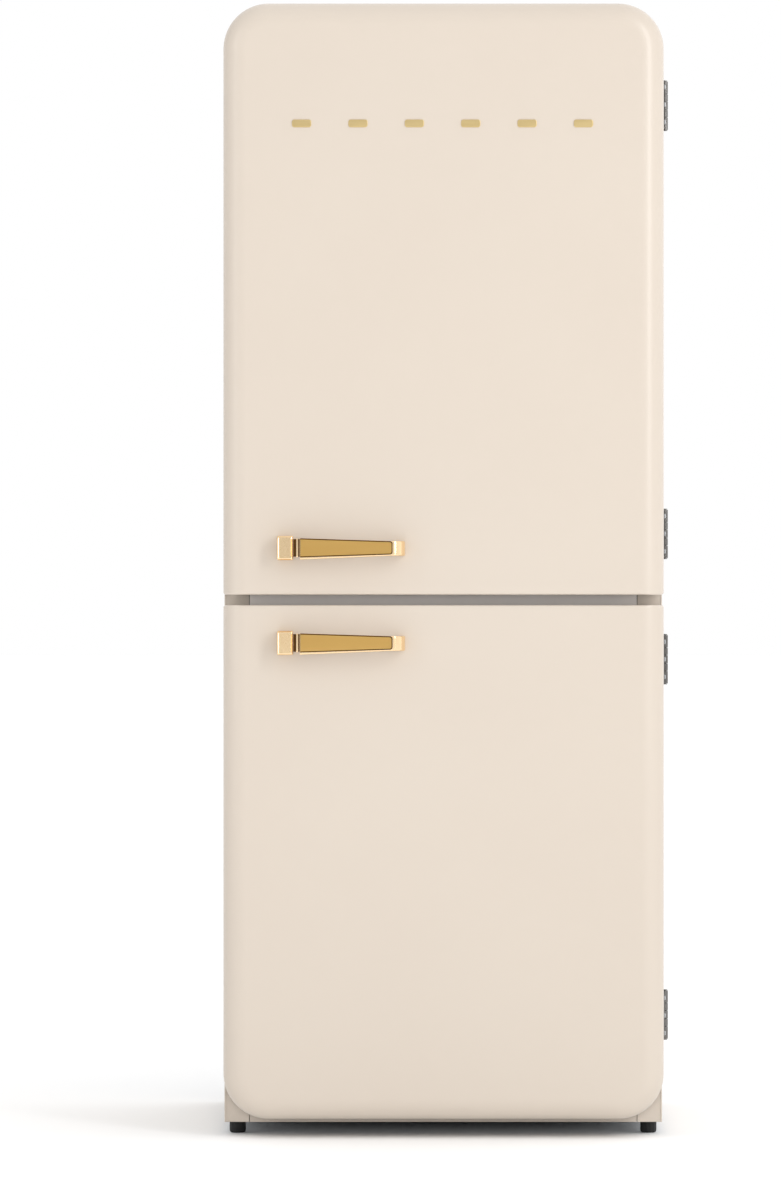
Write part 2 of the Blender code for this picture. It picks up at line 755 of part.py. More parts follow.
def make_compressor(black, plastic, clear, pivot):
    """Welded steel pot with a seam round its waist, its relay in a cover, and the melt-water tray on top."""
    x, y = COMPRESSOR_OFFSET, CASE_DEPTH - BAY_DEPTH / 2
    low = FLOOR_TOP + COMPRESSOR_RISE
    long, wide = COMPRESSOR_LENGTH / 2, COMPRESSOR_WIDTH / 2
    profile = (
        (0.55, 0.0),
        (0.82, 0.03),
        (0.95, 0.16),
        (0.97, 0.50),
        (1.0, 0.505),
        (1.0, 0.525),
        (0.97, 0.53),
        (0.94, 0.78),
        (0.80, 0.92),
        (0.45, 1.0),
    )
    rings = []
    for share, rise in profile:
        points = [(long * share * u, wide * share * v) for u, v in circle(1.0, 20)]
        rings.append(flat(points, low + COMPRESSOR_HEIGHT * rise, (x, y)))
    solid("compressor", loft(rings), black, pivot)
    side = x - long - RELAY_GAP
    middle = low + COMPRESSOR_HEIGHT * 0.35
    corners = (
        (side - RELAY_LENGTH, y - RELAY_WIDTH / 2, middle - RELAY_HEIGHT / 2),
        (side, y + RELAY_WIDTH / 2, middle + RELAY_HEIGHT / 2),
    )
    solid("relay_cover", box(*corners), plastic, pivot, bevel=0.003)
    floor = low + COMPRESSOR_HEIGHT + TRAY_RISE
    half = TRAY_LENGTH / 2

    def level(inset, z):
        edges = (x - half + inset, x + half - inset, y - TRAY_WIDTH / 2 + inset, y + TRAY_WIDTH / 2 - inset)
        return flat(rounded(*edges, TUB_RADIUS - inset, TUB_RADIUS - inset), z)

    draft = TRAY_WALL * 2
    rings = [
        level(draft, floor),
        level(0.0, floor + TRAY_HEIGHT),
        level(TRAY_WALL, floor + TRAY_HEIGHT),
        level(draft + TRAY_WALL, floor + TRAY_WALL),
    ]
    solid("evaporation_tray", loft(rings), clear, pivot)


def make_refrigerant_pipes(black, copper, pivot):
    """Condenser coil behind the case, fed from the compressor, and the drier at the coil's outlet."""
    y = CASE_DEPTH + COIL_STANDOFF
    middle = CASE_DEPTH - BAY_DEPTH / 2
    start_x = COMPRESSOR_OFFSET + COMPRESSOR_LENGTH / 2 + RELAY_GAP
    start_z = FLOOR_TOP + COMPRESSOR_RISE + COMPRESSOR_HEIGHT * 0.5
    riser = HALF - COIL_RISER_MARGIN
    top = CASE_TOP - COIL_TOP_MARGIN
    base = BAY_TOP + COIL_BASE_MARGIN
    pitch = (top - base) / (COIL_RUNS - 1)
    turn = pitch / 2
    side = HALF - COIL_MARGIN
    corners = [(start_x, middle, start_z), (riser, middle, start_z), (riser, y, start_z), (riser, y, top)]
    near, far = side, -side
    for run in range(COIL_RUNS):
        z = top - pitch * run
        if run:
            corners.append((near, y, z))
        corners.append((far, y, z))
        near, far = far, near
    outlet = FLOOR_TOP + DRIER_RISE + DRIER_LENGTH
    drop = BAY_TOP - PIPE_DROP
    corners += [(near, y, drop), (near, middle, drop), (DRIER_OFFSET, middle, drop)]
    corners.append((DRIER_OFFSET, middle, outlet + CLEARANCE))
    tube("condenser_coil", bent(corners, min(turn, PIPE_BEND), 3), COIL_RADIUS, black, pivot)
    profile = (
        (COIL_RADIUS, outlet),
        (DRIER_RADIUS, outlet - DRIER_TAPER),
        (DRIER_RADIUS, outlet - DRIER_LENGTH + DRIER_TAPER),
        (COIL_RADIUS, outlet - DRIER_LENGTH),
    )
    rings = [flat(circle(radius, 14), z, (DRIER_OFFSET, middle)) for radius, z in profile]
    solid("filter_drier", loft(rings), copper, pivot)


def make_cord_gland(rubber, pivot):
    """Rubber sleeve in the bay's wall where the supply cord would enter."""
    x, z = GLAND_FROM_SIDE - HALF, FLOOR_TOP + GLAND_RISE
    front = BAY_FRONT + CLEARANCE
    profile = (
        (GLAND_RADIUS, front),
        (GLAND_RADIUS, front + GLAND_COLLAR * 0.75),
        (GLAND_RADIUS * 0.8, front + GLAND_COLLAR),
        (GLAND_TIP_RADIUS, front + GLAND_LENGTH),
        (GLAND_BORE, front + GLAND_LENGTH),
        (GLAND_BORE, front + GLAND_COLLAR),
    )
    rings = [[(x + u, y, z + v) for u, v in circle(radius, 14)] for radius, y in profile]
    solid("cord_gland", loft(rings), rubber, pivot)


# Doors


def roll_rings(space, inset, front=0.0):
    """Rings over a door's rolled edge, from its side to its face, set in from the outer surface."""
    rings = []
    for step in range(ROLL_STEPS + 1):
        angle = math.radians(90 * step / ROLL_STEPS)
        depth = ROLL_DEPTH * (1 - math.sin(angle))
        rest = max(SPLIT_ROUND - depth, 0.0)
        split = SPLIT_ROUND - math.sqrt(SPLIT_ROUND**2 - rest**2)
        side = ROLL_WIDTH * (1 - math.cos(angle))
        y = DOOR_FRONT + depth + inset
        rings.append(upright(space.door(side + inset, split + inset), y + front))
    return rings


def make_door(kind, space, dyke, looks, pivot):
    """A painted steel pan, its foam, its moulded liner and the magnetic gasket round the back."""
    paint, foam, plastic, rubber = looks
    back = -SEAL_GAP
    rings = roll_rings(space, SHEET)[::-1]
    rings += [
        upright(space.door(SHEET), back - SHEET),
        upright(space.door(DOOR_LIP), back - SHEET),
        upright(space.door(DOOR_LIP), back),
        upright(space.door(0.0), back),
    ]
    rings += roll_rings(space, 0.0)
    solid(f"{kind}_door_skin", loft(rings), paint, pivot)

    inset = SHEET + CLEARANCE
    rings = [upright(space.door(inset), back - LINER - CLEARANCE)] + roll_rings(space, inset)
    solid(f"{kind}_door_foam", loft(rings), foam, pivot)

    top = back + dyke
    edge = space.door(DOOR_LIP + CLEARANCE)
    width = DYKE_WIDTH
    rings = [
        upright(space.cavity(-DYKE_CLEARANCE - width - DYKE_DRAFT + LINER), back - LINER),
        upright(space.cavity(-DYKE_CLEARANCE - width + LINER), top - LINER),
        upright(space.cavity(-DYKE_CLEARANCE - LINER), top - LINER),
        upright(space.cavity(-DYKE_CLEARANCE + DYKE_DRAFT - LINER), back - LINER),
        upright(edge, back - LINER),
        upright(edge, back),
        upright(space.cavity(-DYKE_CLEARANCE + DYKE_DRAFT), back),
        upright(space.cavity(-DYKE_CLEARANCE), top),
        upright(space.cavity(-DYKE_CLEARANCE - width), top),
        upright(space.cavity(-DYKE_CLEARANCE - width - DYKE_DRAFT), back),
    ]
    solid(f"{kind}_door_liner", loft(rings), plastic, pivot)

    near, far = back + CLEARANCE, -CLEARANCE
    middle = (near + far) / 2
    low, high = GASKET_INSET, GASKET_INSET + GASKET_WIDTH
    waist = GASKET_WAIST
    section = (
        (low + waist, near),
        (high - waist, near),
        (high - waist, middle),
        (high, far),
        (low, far),
        (low + waist, middle),
    )
    rings = [upright(space.door(offset), y) for offset, y in section]
    solid(f"{kind}_door_gasket", loft(rings, closed=True), rubber, pivot)


def make_bins(clear, pivot):
    """Door bins held between the two upright dykes of the upper door's liner."""
    half = FRIDGE.half - DYKE_CLEARANCE - DYKE_WIDTH - DYKE_DRAFT - BIN_CLEARANCE
    front = -SEAL_GAP + CLEARANCE
    pitch = (FRIDGE.high - FRIDGE.low - BIN_FLOOR_SPACE) / len(BIN_HEIGHTS)
    for number, height in enumerate(BIN_HEIGHTS):
        low = FRIDGE.low + DYKE_CLEARANCE + DYKE_WIDTH + DYKE_DRAFT + pitch * number
        name = f"door_bin_{number + 1}"
        tub(name, half, front, front + BIN_DEPTH, low, low + height, clear, pivot, BIN_WALL)


def make_handle(kind, middle, gold, pivot):
    """A block on the door carries a tapered grip, whose far end turns back to the door as a foot."""
    left = HANDLE_FROM_SIDE - HALF
    right = left + HANDLE_LENGTH
    near = DOOR_FRONT - CLEARANCE
    half = HANDLE_BLOCK_HEIGHT / 2
    low = (left, DOOR_FRONT - HANDLE_BLOCK_REACH, middle - half)
    high = (left + HANDLE_BLOCK_WIDTH, near, middle + half)
    solid(f"{kind}_handle_base", box(low, high), gold, pivot, bevel=0.0015)

    centre = DOOR_FRONT - HANDLE_REACH + GRIP_THICKNESS / 2
    start = left + HANDLE_BLOCK_WIDTH + CLEARANCE
    neck_y = DOOR_FRONT - HANDLE_BLOCK_REACH + GRIP_THICKNESS / 2
    neck_end = start + HANDLE_NECK
    foot_x = right - GRIP_THICKNESS / 2
    straight = foot_x - GRIP_BEND
    stations = [
        (Vector((start, neck_y)), 0.0, GRIP_THICKNESS * 0.6, HANDLE_NECK_HEIGHT),
        (Vector((neck_end, neck_y)), 0.0, GRIP_THICKNESS * 0.6, HANDLE_NECK_HEIGHT),
        (Vector((neck_end + 0.0005, centre)), 0.0, GRIP_THICKNESS, GRIP_HEIGHT),
        (Vector((straight, centre)), 0.0, GRIP_THICKNESS, GRIP_END_HEIGHT),
    ]
    for degrees in (22.5, 45, 67.5, 90):
        angle = math.radians(degrees)
        place = Vector((straight + GRIP_BEND * math.sin(angle), centre + GRIP_BEND * (1 - math.cos(angle))))
        stations.append((place, angle, GRIP_THICKNESS, GRIP_END_HEIGHT))
    stations.append((Vector((foot_x, near)), math.pi / 2, GRIP_THICKNESS, GRIP_END_HEIGHT + 0.002))
    rings = []
    for place, angle, thick, tall in stations:
        across = Vector((-math.sin(angle), math.cos(angle)))
        corner = thick / 4
        ring = []
        for u, v in rounded(-thick / 2, thick / 2, -tall / 2, tall / 2, corner, corner, 1, 1):
            spot = place + across * u
            ring.append((spot.x, spot.y, middle + v))
        rings.append(ring)
    solid(f"{kind}_handle_grip", loft(rings), gold, pivot)


# Hinges


def knuckles():
    """Low and high ends of the five knuckles, from the hinge's middle; odd ones belong to the case's leaf."""
    total = HINGE_HEIGHT - 2 * PIN_HEAD - 2 * CLEARANCE
    centre = total - 2 * END_KNUCKLE - 2 * SHORT_KNUCKLE
    low = -total / 2
    spans = []
    for length in (END_KNUCKLE, SHORT_KNUCKLE, centre, SHORT_KNUCKLE, END_KNUCKLE):
        spans.append((low + CLEARANCE / 2, low + length - CLEARANCE / 2))
        low += length
    return spans


def make_leaf(name, middle, direction, own, look, pivot):
    """One leaf: a plate against the side, whose teeth end in the knuckles that it owns."""
    sides = 12
    inner = HALF + CLEARANCE
    outer = inner + LEAF_SHEET
    reach = BARREL_RADIUS + 2 * CLEARANCE
    spans = knuckles()
    low, high = spans[0][0], spans[-1][1]
    far = HINGE_Y + direction * LEAF_WIDTH
    edge = HINGE_Y + direction * reach
    tooth = HINGE_Y + direction * BARREL_RADIUS * 0.3
    shy = KNUCKLE_SHY
    comb = [(far, low), (far, high)]
    for bottom, top in reversed([spans[k] for k in own]):
        comb += [(edge, top - shy), (tooth, top - shy), (tooth, bottom + shy), (edge, bottom + shy)]
    if 0 not in own:
        comb.insert(2, (edge, high))
        comb.append((edge, low))
    else:
        comb[1] = (far, high - shy)
        comb[0] = (far, low + shy)
        del comb[2]
        del comb[-1]
    plate = loft([[(x, y, middle + z) for y, z in comb] for x in (inner, outer)])
    leaf = solid(name, plate, look, pivot)
    axis = (HINGE_X, HINGE_Y)
    barrels = []
    for k in own:
        ends = (*axis, middle + spans[k][0]), (*axis, middle + spans[k][1])
        barrels.append(cylinder(BARREL_RADIUS, *ends, sides))
    boolean(leaf, f"{name}_barrels", joined(barrels), "UNION")
    ends = (*axis, middle - HINGE_HEIGHT), (*axis, middle + HINGE_HEIGHT)
    bore = cylinder(PIN_RADIUS + PIN_CLEARANCE, *ends, sides)
    boolean(leaf, f"{name}_bore", bore, "DIFFERENCE")


def make_hinge(name, middle, chrome, case, door):
    make_leaf(f"{name}_case_leaf", middle, 1, (0, 2, 4), chrome, case)
    make_leaf(f"{name}_door_leaf", middle, -1, (1, 3), chrome, door)
    half = HINGE_HEIGHT / 2
    profile = (
        (PIN_HEAD_RADIUS, -half),
        (PIN_HEAD_RADIUS, -half + PIN_HEAD),
        (PIN_RADIUS, -half + PIN_HEAD),
        (PIN_RADIUS, half - PIN_HEAD),
        (PIN_HEAD_RADIUS, half - PIN_HEAD),
        (PIN_HEAD_RADIUS, half),
    )
    rings = [flat(circle(radius, 12), middle + z, (HINGE_X, HINGE_Y)) for radius, z in profile]
    solid(f"{name}_pin", loft(rings), chrome, case)


# Assembly


def make_pivots():
    """Empties for the case and for each moving part, each one on its joint's axis."""
    appliance = empty("appliance", (SHIFT_X, SHIFT_Y, 0.0))
    button_x = FRIDGE.half - DYKE_CLEARANCE - DYKE_WIDTH / 2
    places = {
        "case": (0.0, 0.0, 0.0),
        "upper_door": (HINGE_X, HINGE_Y, 0.0),
        "lower_door": (HINGE_X, HINGE_Y, 0.0),
        "thermostat_knob": (0.0, HOUSING_FRONT - CLEARANCE, HOUSING_LOW + HOUSING_HEIGHT / 2),
        "door_switch_button": (button_x, UPPER_DYKE - SEAL_GAP + CLEARANCE, FRIDGE.low + SWITCH_RISE),
        "crisper_drawer": (0.0, SHELF_FRONT, FRIDGE.low),
        "freezer_drawer_1": (0.0, DRAWER_FRONT, FREEZER.low),
        "freezer_drawer_2": (0.0, DRAWER_FRONT, DRAWER_LEVEL),
        "freezer_drawer_3": (0.0, DRAWER_FRONT, DRAWER_LEVEL + DRAWER_PITCH),
    }
    names = ("front_foot_left", "front_foot_right", "rear_foot_left", "rear_foot_right")
    for name, (x, y) in zip(names, foot_places()):
        places[name] = (x, y, 0.0)
    return {name: empty(f"{name}_pivot", place, appliance) for name, place in places.items()}


def main():
    clear_scene()
    paint = material("cream enamel", (236, 224, 209), 0.42)
    gold = material("polished brass", (217, 176, 98), 0.16, 1.0)
    chrome = material("chrome", (205, 205, 208), 0.12, 1.0)
    black = material("black enamel", (20, 20, 21), 0.45)
    rubber = material("black rubber", (16, 16, 17), 0.6)
    seal = material("grey vinyl seal", (176, 172, 166), 0.55)
    white = material("white polystyrene", (238, 239, 238), 0.35)
    clear = material("clear polystyrene", (216, 230, 236), 0.1, 0.0, 0.35)
    glass = material("toughened glass", (205, 226, 220), 0.05, 0.0, 0.3)
    foam = material("rigid foam", (226, 205, 130), 0.9)
    zinc = material("galvanised steel", (160, 163, 165), 0.45, 1.0)
    copper = material("copper", (190, 120, 86), 0.3, 1.0)
    aluminium = material("rolled aluminium", (200, 201, 203), 0.35, 1.0)

    pivots = make_pivots()
    case = pivots["case"]
    make_outer_case(paint, case)
    make_back_panel(zinc, case)
    make_base(zinc, paint, case)
    make_bay_panel(zinc, case)
    make_liners(white, case)
    make_foam(foam, case)
    make_evaporator(aluminium, case)
    make_shelves(glass, case)
    make_drawers(clear, pivots)
    make_thermostat(white, clear, pivots)
    make_door_switch(white, black, pivots)
    make_compressor(black, white, clear, case)
    make_refrigerant_pipes(black, copper, case)
    make_cord_gland(rubber, case)
    make_feet(rubber, pivots)

    looks = (paint, foam, white, seal)
    make_door("upper", FRIDGE, UPPER_DYKE, looks, pivots["upper_door"])
    make_door("lower", FREEZER, LOWER_DYKE, looks, pivots["lower_door"])
    make_bins(clear, pivots["upper_door"])
    make_handle("upper", UPPER_DOOR_LOW + HANDLE_FROM_SPLIT_UPPER, gold, pivots["upper_door"])
    make_handle("lower", LOWER_DOOR_HIGH - HANDLE_FROM_SPLIT_LOWER, gold, pivots["lower_door"])
    for name, middle, door in (
        ("upper_door_hinge_top", HEIGHT - UPPER_HINGE_DROP, "upper_door"),
        ("upper_door_hinge_bottom", UPPER_DOOR_LOW + UPPER_HINGE_RISE, "upper_door"),
        ("lower_door_hinge_top", LOWER_DOOR_HIGH - LOWER_HINGE_DROP, "lower_door"),
        ("lower_door_hinge_bottom", LOWER_DOOR_LOW + LOWER_HINGE_RISE, "lower_door"),
    ):
        make_hinge(name, middle, chrome, case, pivots[door])


main()
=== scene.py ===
import math

import bmesh
import bpy
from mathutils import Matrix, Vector


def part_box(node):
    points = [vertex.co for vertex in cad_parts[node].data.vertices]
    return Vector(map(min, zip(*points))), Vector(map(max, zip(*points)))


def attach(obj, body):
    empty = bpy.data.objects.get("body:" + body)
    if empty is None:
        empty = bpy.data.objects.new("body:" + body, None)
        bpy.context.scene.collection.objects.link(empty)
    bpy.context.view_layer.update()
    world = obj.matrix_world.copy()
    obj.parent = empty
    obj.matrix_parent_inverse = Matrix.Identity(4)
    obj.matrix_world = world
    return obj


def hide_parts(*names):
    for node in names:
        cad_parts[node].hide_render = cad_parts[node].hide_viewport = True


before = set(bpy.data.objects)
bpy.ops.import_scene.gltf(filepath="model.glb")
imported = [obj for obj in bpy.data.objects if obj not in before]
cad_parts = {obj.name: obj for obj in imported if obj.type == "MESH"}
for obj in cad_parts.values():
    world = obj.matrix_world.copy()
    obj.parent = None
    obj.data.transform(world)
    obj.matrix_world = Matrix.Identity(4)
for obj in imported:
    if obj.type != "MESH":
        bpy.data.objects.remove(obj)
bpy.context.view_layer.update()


# ---------------- studio
# A white floor and white surroundings for a catalogue picture. A tall softbox on the right is the key
# light, a weaker one fills from the left, and one in front fills without showing in the gloss. The camera
# looks level at the doors, a little to the left of their middle.
case_low, case_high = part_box("outer_case")
case_x = (case_low.x + case_high.x) / 2
case_y = case_low.y
door_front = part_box("upper_door_skin")[0].y

CAMERA_DISTANCE = 7.0
CAMERA_HEIGHT = 0.6715
CAMERA_OFFSET = -0.0663
FRAME_HEIGHT = 1.4942
SENSOR = 24.0

camera = bpy.data.objects.new("camera", bpy.data.cameras.new("camera"))
camera.location = (case_x + CAMERA_OFFSET, door_front - CAMERA_DISTANCE, CAMERA_HEIGHT)
camera.rotation_euler = (math.radians(90), 0.0, 0.0)
camera.data.sensor_fit = "VERTICAL"
camera.data.sensor_height = SENSOR
camera.data.lens = SENSOR * CAMERA_DISTANCE / FRAME_HEIGHT
camera.data.clip_end = 100.0
bpy.context.scene.collection.objects.link(camera)
bpy.context.scene.camera = camera
bpy.context.scene.view_settings.view_transform = "Standard"


def linear(code):
    """A hex sRGB colour as linear RGBA."""
    shares = [int(code[i : i + 2], 16) / 255 for i in (1, 3, 5)]
    return (*[((c + 0.055) / 1.055) ** 2.4 if c > 0.04045 else c / 12.92 for c in shares], 1.0)


def add(tree, kind, values=None, links=None, **settings):
    """Adds a shader node with its settings, its sockets' values and its incoming links."""
    made = tree.nodes.new(kind)
    for key, value in settings.items():
        setattr(made, key, value)
    for key, value in (values or {}).items():
        made.inputs[key].default_value = value
    for key, socket in (links or {}).items():
        tree.links.new(socket, made.inputs[key])
    return made


# The surroundings light the scene like a white tent, brighter above, behind and on the right. What the
# camera sees of them is plain white, so that the floor runs into the background.
world = bpy.data.worlds.new("white surroundings")
world.use_nodes = True
bpy.context.scene.world = world
TENT = 0.905
TENT_SLOPE = (0.26, 0.30, 0.25)
tree = world.node_tree
towards = add(tree, "ShaderNodeTexCoord").outputs["Generated"]
slope = add(
    tree, "ShaderNodeVectorMath", {1: TENT_SLOPE}, {0: towards}, operation="DOT_PRODUCT"
).outputs["Value"]
glow = add(tree, "ShaderNodeMath", {1: TENT}, {0: slope}, operation="ADD").outputs[0]
straight = add(tree, "ShaderNodeLightPath").outputs["Is Camera Ray"]
level = add(tree, "ShaderNodeMix", {3: 1.0}, {0: straight, 2: glow}, data_type="FLOAT")
background = tree.nodes["Background"]
background.inputs["Color"].default_value = (1.0, 1.0, 1.0, 1.0)
tree.links.new(level.outputs[0], background.inputs["Strength"])

AIM_HEIGHT = 0.75
for name, place, width, height, power in (
    ("key softbox", (2.0, -3.0, 1.95), 0.7, 2.4, 35.0),
    ("left softbox", (-2.3, -2.3, 1.60), 0.5, 2.2, 9.0),
    ("front softbox", (-0.1, -5.0, 0.75), 0.9, 0.6, 38.0),
):
    light = bpy.data.lights.new(name, "AREA")
    light.shape = "RECTANGLE"
    light.size = width
    light.size_y = height
    light.energy = power
    lamp = bpy.data.objects.new(name, light)
    lamp.location = place
    lamp.visible_glossy = name != "front softbox"
    aim = Vector((case_x, case_y, AIM_HEIGHT)) - lamp.location
    lamp.rotation_euler = aim.to_track_quat("-Z", "Y").to_euler()
    bpy.context.scene.collection.objects.link(lamp)

FLOOR_REACH = 60.0
floor_mesh = bpy.data.meshes.new("studio_floor")
floor_mesh.from_pydata(
    [(x * FLOOR_REACH, y * FLOOR_REACH, 0) for x, y in ((-1, -1), (1, -1), (1, 1), (-1, 1))],
    [],
    [(0, 1, 2, 3)],
)
floor = bpy.data.objects.new("studio_floor", floor_mesh)
bpy.context.scene.collection.objects.link(floor)


def finish(name, shades, patch, grain, relief, roughness, stretch=(1, 1, 1), **sockets):
    """A surface whose colour drifts between two shades, with a fine grain in its relief and gloss.

    patch, grain and relief are lengths in metres. roughness is its lowest and its highest value.
    sockets are the shader's other values, with _ for each space in a name.
    """
    made = bpy.data.materials.new(name)
    made.use_nodes = True
    tree = made.node_tree
    shader = tree.nodes["Principled BSDF"]
    place = add(tree, "ShaderNodeTexCoord").outputs["Object"]
    where = add(tree, "ShaderNodeMapping", {"Scale": stretch}, {"Vector": place}).outputs[0]
    drift = add(tree, "ShaderNodeTexNoise", {"Scale": 1 / patch, "Detail": 3.0}, {"Vector": where})
    fine = add(tree, "ShaderNodeTexNoise", {"Scale": 1 / grain, "Detail": 2.0}, {"Vector": where})
    colours = {6: linear(shades[0]), 7: linear(shades[1])}
    colour = add(tree, "ShaderNodeMix", colours, {0: drift.outputs[0]}, data_type="RGBA")
    limits = {"To Min": roughness[0], "To Max": roughness[1]}
    gloss = add(tree, "ShaderNodeMapRange", limits, {"Value": fine.outputs[0]})
    bump = add(tree, "ShaderNodeBump", {"Distance": relief}, {"Height": fine.outputs[0]})
    tree.links.new(colour.outputs[2], shader.inputs["Base Color"])
    tree.links.new(gloss.outputs[0], shader.inputs["Roughness"])
    tree.links.new(bump.outputs[0], shader.inputs["Normal"])
    for socket, value in sockets.items():
        shader.inputs[socket.replace("_", " ")].default_value = value
    return made


# Matt white vinyl sweep: no gloss, so that it shows nothing but the soft shadow.
floor_mesh.materials.append(
    finish("matt_white_sweep", ("#fbfbfb", "#fdfdfd"), 0.8, 0.02, 0.00005, (0.92, 0.96),
           Specular_IOR_Level=0.1)
)


# ---------------- case
# One sheet of 1 mm steel, bent over both sides and the top, with a flange turned in round the front. It
# is sprayed with satin cream enamel before the foam goes in.
CORNER_RADIUS = 0.057
FLANGE = 0.031
SHEET = 0.0010
SHEET_BEND = 0.0015
half_width = (case_high.x - case_low.x) / 2


def quarter(radius, start, steps):
    """(u, v) points over a quarter circle that starts at an angle in degrees."""
    angles = [math.radians(start + 90 * step / steps) for step in range(steps + 1)]
    return [(radius * math.cos(a), radius * math.sin(a)) for a in angles]


def rounded(left, right, low, high, radius, steps=6, top_radius=None, top_steps=None):
    """Points round a rectangle, anticlockwise from its low left corner. Its top corners may differ."""
    top_radius, top_steps = top_radius or radius, top_steps or steps
    points = []
    for u, v, bend, start, count in (
        (left + radius, low + radius, radius, 180, steps),
        (right - radius, low + radius, radius, 270, steps),
        (right - top_radius, high - top_radius, top_radius, 0, top_steps),
        (left + top_radius, high - top_radius, top_radius, 90, top_steps),
    ):
        points += [(u + du, v + dv) for du, dv in quarter(bend, start, count)]
    return points


def loft(rings, closed=False):
    """Skins rings of equal length in order; an open run gets a cap at each end, a closed one joins up."""
    bm = bmesh.new()
    loops = [[bm.verts.new(point) for point in ring] for ring in rings]
    pairs = list(zip(loops, loops[1:]))
    if closed:
        pairs.append((loops[-1], loops[0]))
    for near, far in pairs:
        for i in range(len(near)):
            j = (i + 1) % len(near)
            bm.faces.new((near[i], near[j], far[j], far[i]))
    if not closed:
        bm.faces.new(loops[0])
        bm.faces.new(loops[-1])
    return bm


def merged(parts):
    """Several loose shapes in one mesh."""
    bm = bmesh.new()
    for part in parts:
        bmesh.ops.recalc_face_normals(part, faces=part.faces)
        mesh = bpy.data.meshes.new("loose shape")
        part.to_mesh(mesh)
        part.free()
        bm.from_mesh(mesh)
        bpy.data.meshes.remove(mesh)
    return bm


def fit(name, bm, look, slot, *stands_for, body="cabinet", bevel=0.0, sharp=38):
    """Makes a mesh a piece of the appliance: its finish, the body it moves with and what it replaces."""
    bmesh.ops.recalc_face_normals(bm, faces=bm.faces)
    mesh = bpy.data.meshes.new(name)
    bm.to_mesh(mesh)
    bm.free()
    mesh.shade_smooth()
    mesh.set_sharp_from_angle(angle=math.radians(sharp))
    mesh.materials.append(look)
    made = bpy.data.objects.new(name, mesh)
    bpy.context.scene.collection.objects.link(made)
    if bevel:
        edge = made.modifiers.new("broken edges", "BEVEL")
        edge.width = bevel
        edge.segments = 2
        edge.limit_method = "ANGLE"
        edge.harden_normals = True
    flat = made.modifiers.new("flat faces stay flat", "WEIGHTED_NORMAL")
    flat.keep_sharp = True
    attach(made, body)
    if stands_for:
        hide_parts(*stands_for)


def repaint(look, *names):
    """Gives CAD nodes, whose shape is right as it is, a finish."""
    for name in names:
        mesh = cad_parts[name].data
        mesh.materials.clear()
        mesh.materials.append(look)


# Sprayed satin enamel on steel: warm cream, a soft broad sheen and a faint orange peel. Real orange peel
# is about 1 mm across, too fine to show, so it is drawn at 3 mm.
cream_enamel = finish(
    "sprayed_cream_enamel", ("#c7bbae", "#cabfb2"), 0.22, 0.003, 0.00003, (0.36, 0.44),
    IOR=1.5, Coat_Weight=0.38, Coat_Roughness=0.26,
)


def arch(offset, steps=20):
    """(x, z) points up the left side, over the top and down the right side, set in from the skin."""
    radius = CORNER_RADIUS - offset
    side = half_width - CORNER_RADIUS
    centre_z = case_high.z - CORNER_RADIUS
    points = [(case_x - half_width + offset, case_low.z)]
    points += [(case_x - side + u, centre_z + v) for u, v in reversed(quarter(radius, 90, steps))]
    points += [(case_x + side + u, centre_z + v) for u, v in reversed(quarter(radius, 0, steps))]
    points.append((case_x + half_width - offset, case_low.z))
    return points


bend = [(SHEET_BEND - v, SHEET_BEND - u) for u, v in quarter(SHEET_BEND, 0, 4)]
section = [(0.0, case_high.y - case_y)] + bend
section += [(FLANGE, 0.0), (FLANGE, SHEET), (SHEET, SHEET), (SHEET, case_high.y - case_y)]
lines = [[(x, case_y + y, z) for x, z in arch(offset)] for offset, y in section]
fit("case_shell", loft(list(zip(*lines))), cream_enamel, "cream_enamel", "outer_case")


# ---------------- front rails
# Two folded strips close the case's front between its flanges: one between the doors and one under the
# lower door. The joint at each of their ends holds a thin black strip of painted shade that darkens the seam.
SEAM = 0.0008
SEAM_SHADE_HALF = 0.0003
SEAM_SHADE_CORNER = 0.0002
SEAM_SHADE_SINK = 0.0002
SEAM_SHADE_DEPTH = 0.0010


def placed(u, v, place, axis):
    """The point at (u, v) across an axis and at a place along it."""
    return {"x": (place, u, v), "y": (u, place, v), "z": (u, v, place)}[axis]


def slab(outline, axis, *places):
    """An outline drawn across an axis and lofted between places along it."""
    return loft([[placed(u, v, place, axis) for u, v in outline] for place in places])


repaint(cream_enamel, "bottom_rail")
# The strip between the doors is painted a paler cream than the case, with the same sheen: painted light that
# brightens it where it lies in shade between the doors.
pale_cream_painted_light = finish(
    "cream_enamel_painted_light", ("#ece5e0", "#f1eae5"), 0.22, 0.003, 0.00003, (0.36, 0.44), IOR=1.5
)
repaint(pale_cream_painted_light, "mullion_rail")

# Black rubber: matt, with worn grey on its high spots. The painted shade strips in the rail joints use it
# too.
black_rubber = finish(
    "moulded_black_rubber", ("#080808", "#121213"), 0.006, 0.0012, 0.00004, (0.55, 0.72), IOR=1.52
)
# Thin black strips sunk in the rail joints: painted shade that darkens the seams.
seam_shades = []
for rail in ("bottom_rail", "mullion_rail"):
    low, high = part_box(rail)
    for x in (low.x - SEAM / 2, high.x + SEAM / 2):
        outline = rounded(x - SEAM_SHADE_HALF, x + SEAM_SHADE_HALF, low.z, high.z, SEAM_SHADE_CORNER, 2)
        seam_shades.append(slab(outline, "y", case_y + SEAM_SHADE_SINK, case_y + SEAM_SHADE_DEPTH))
fit("rail_joint_painted_shade", merged(seam_shades), black_rubber, "black_rubber")


# ---------------- back panel
# A galvanised sheet let into the back of the case, with pressed ribs to keep it flat against the foam,
# two plugs in the holes that the foam was poured through, and a row of screws down each side.
panel_low, panel_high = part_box("back_panel")
panel_back = panel_high.y


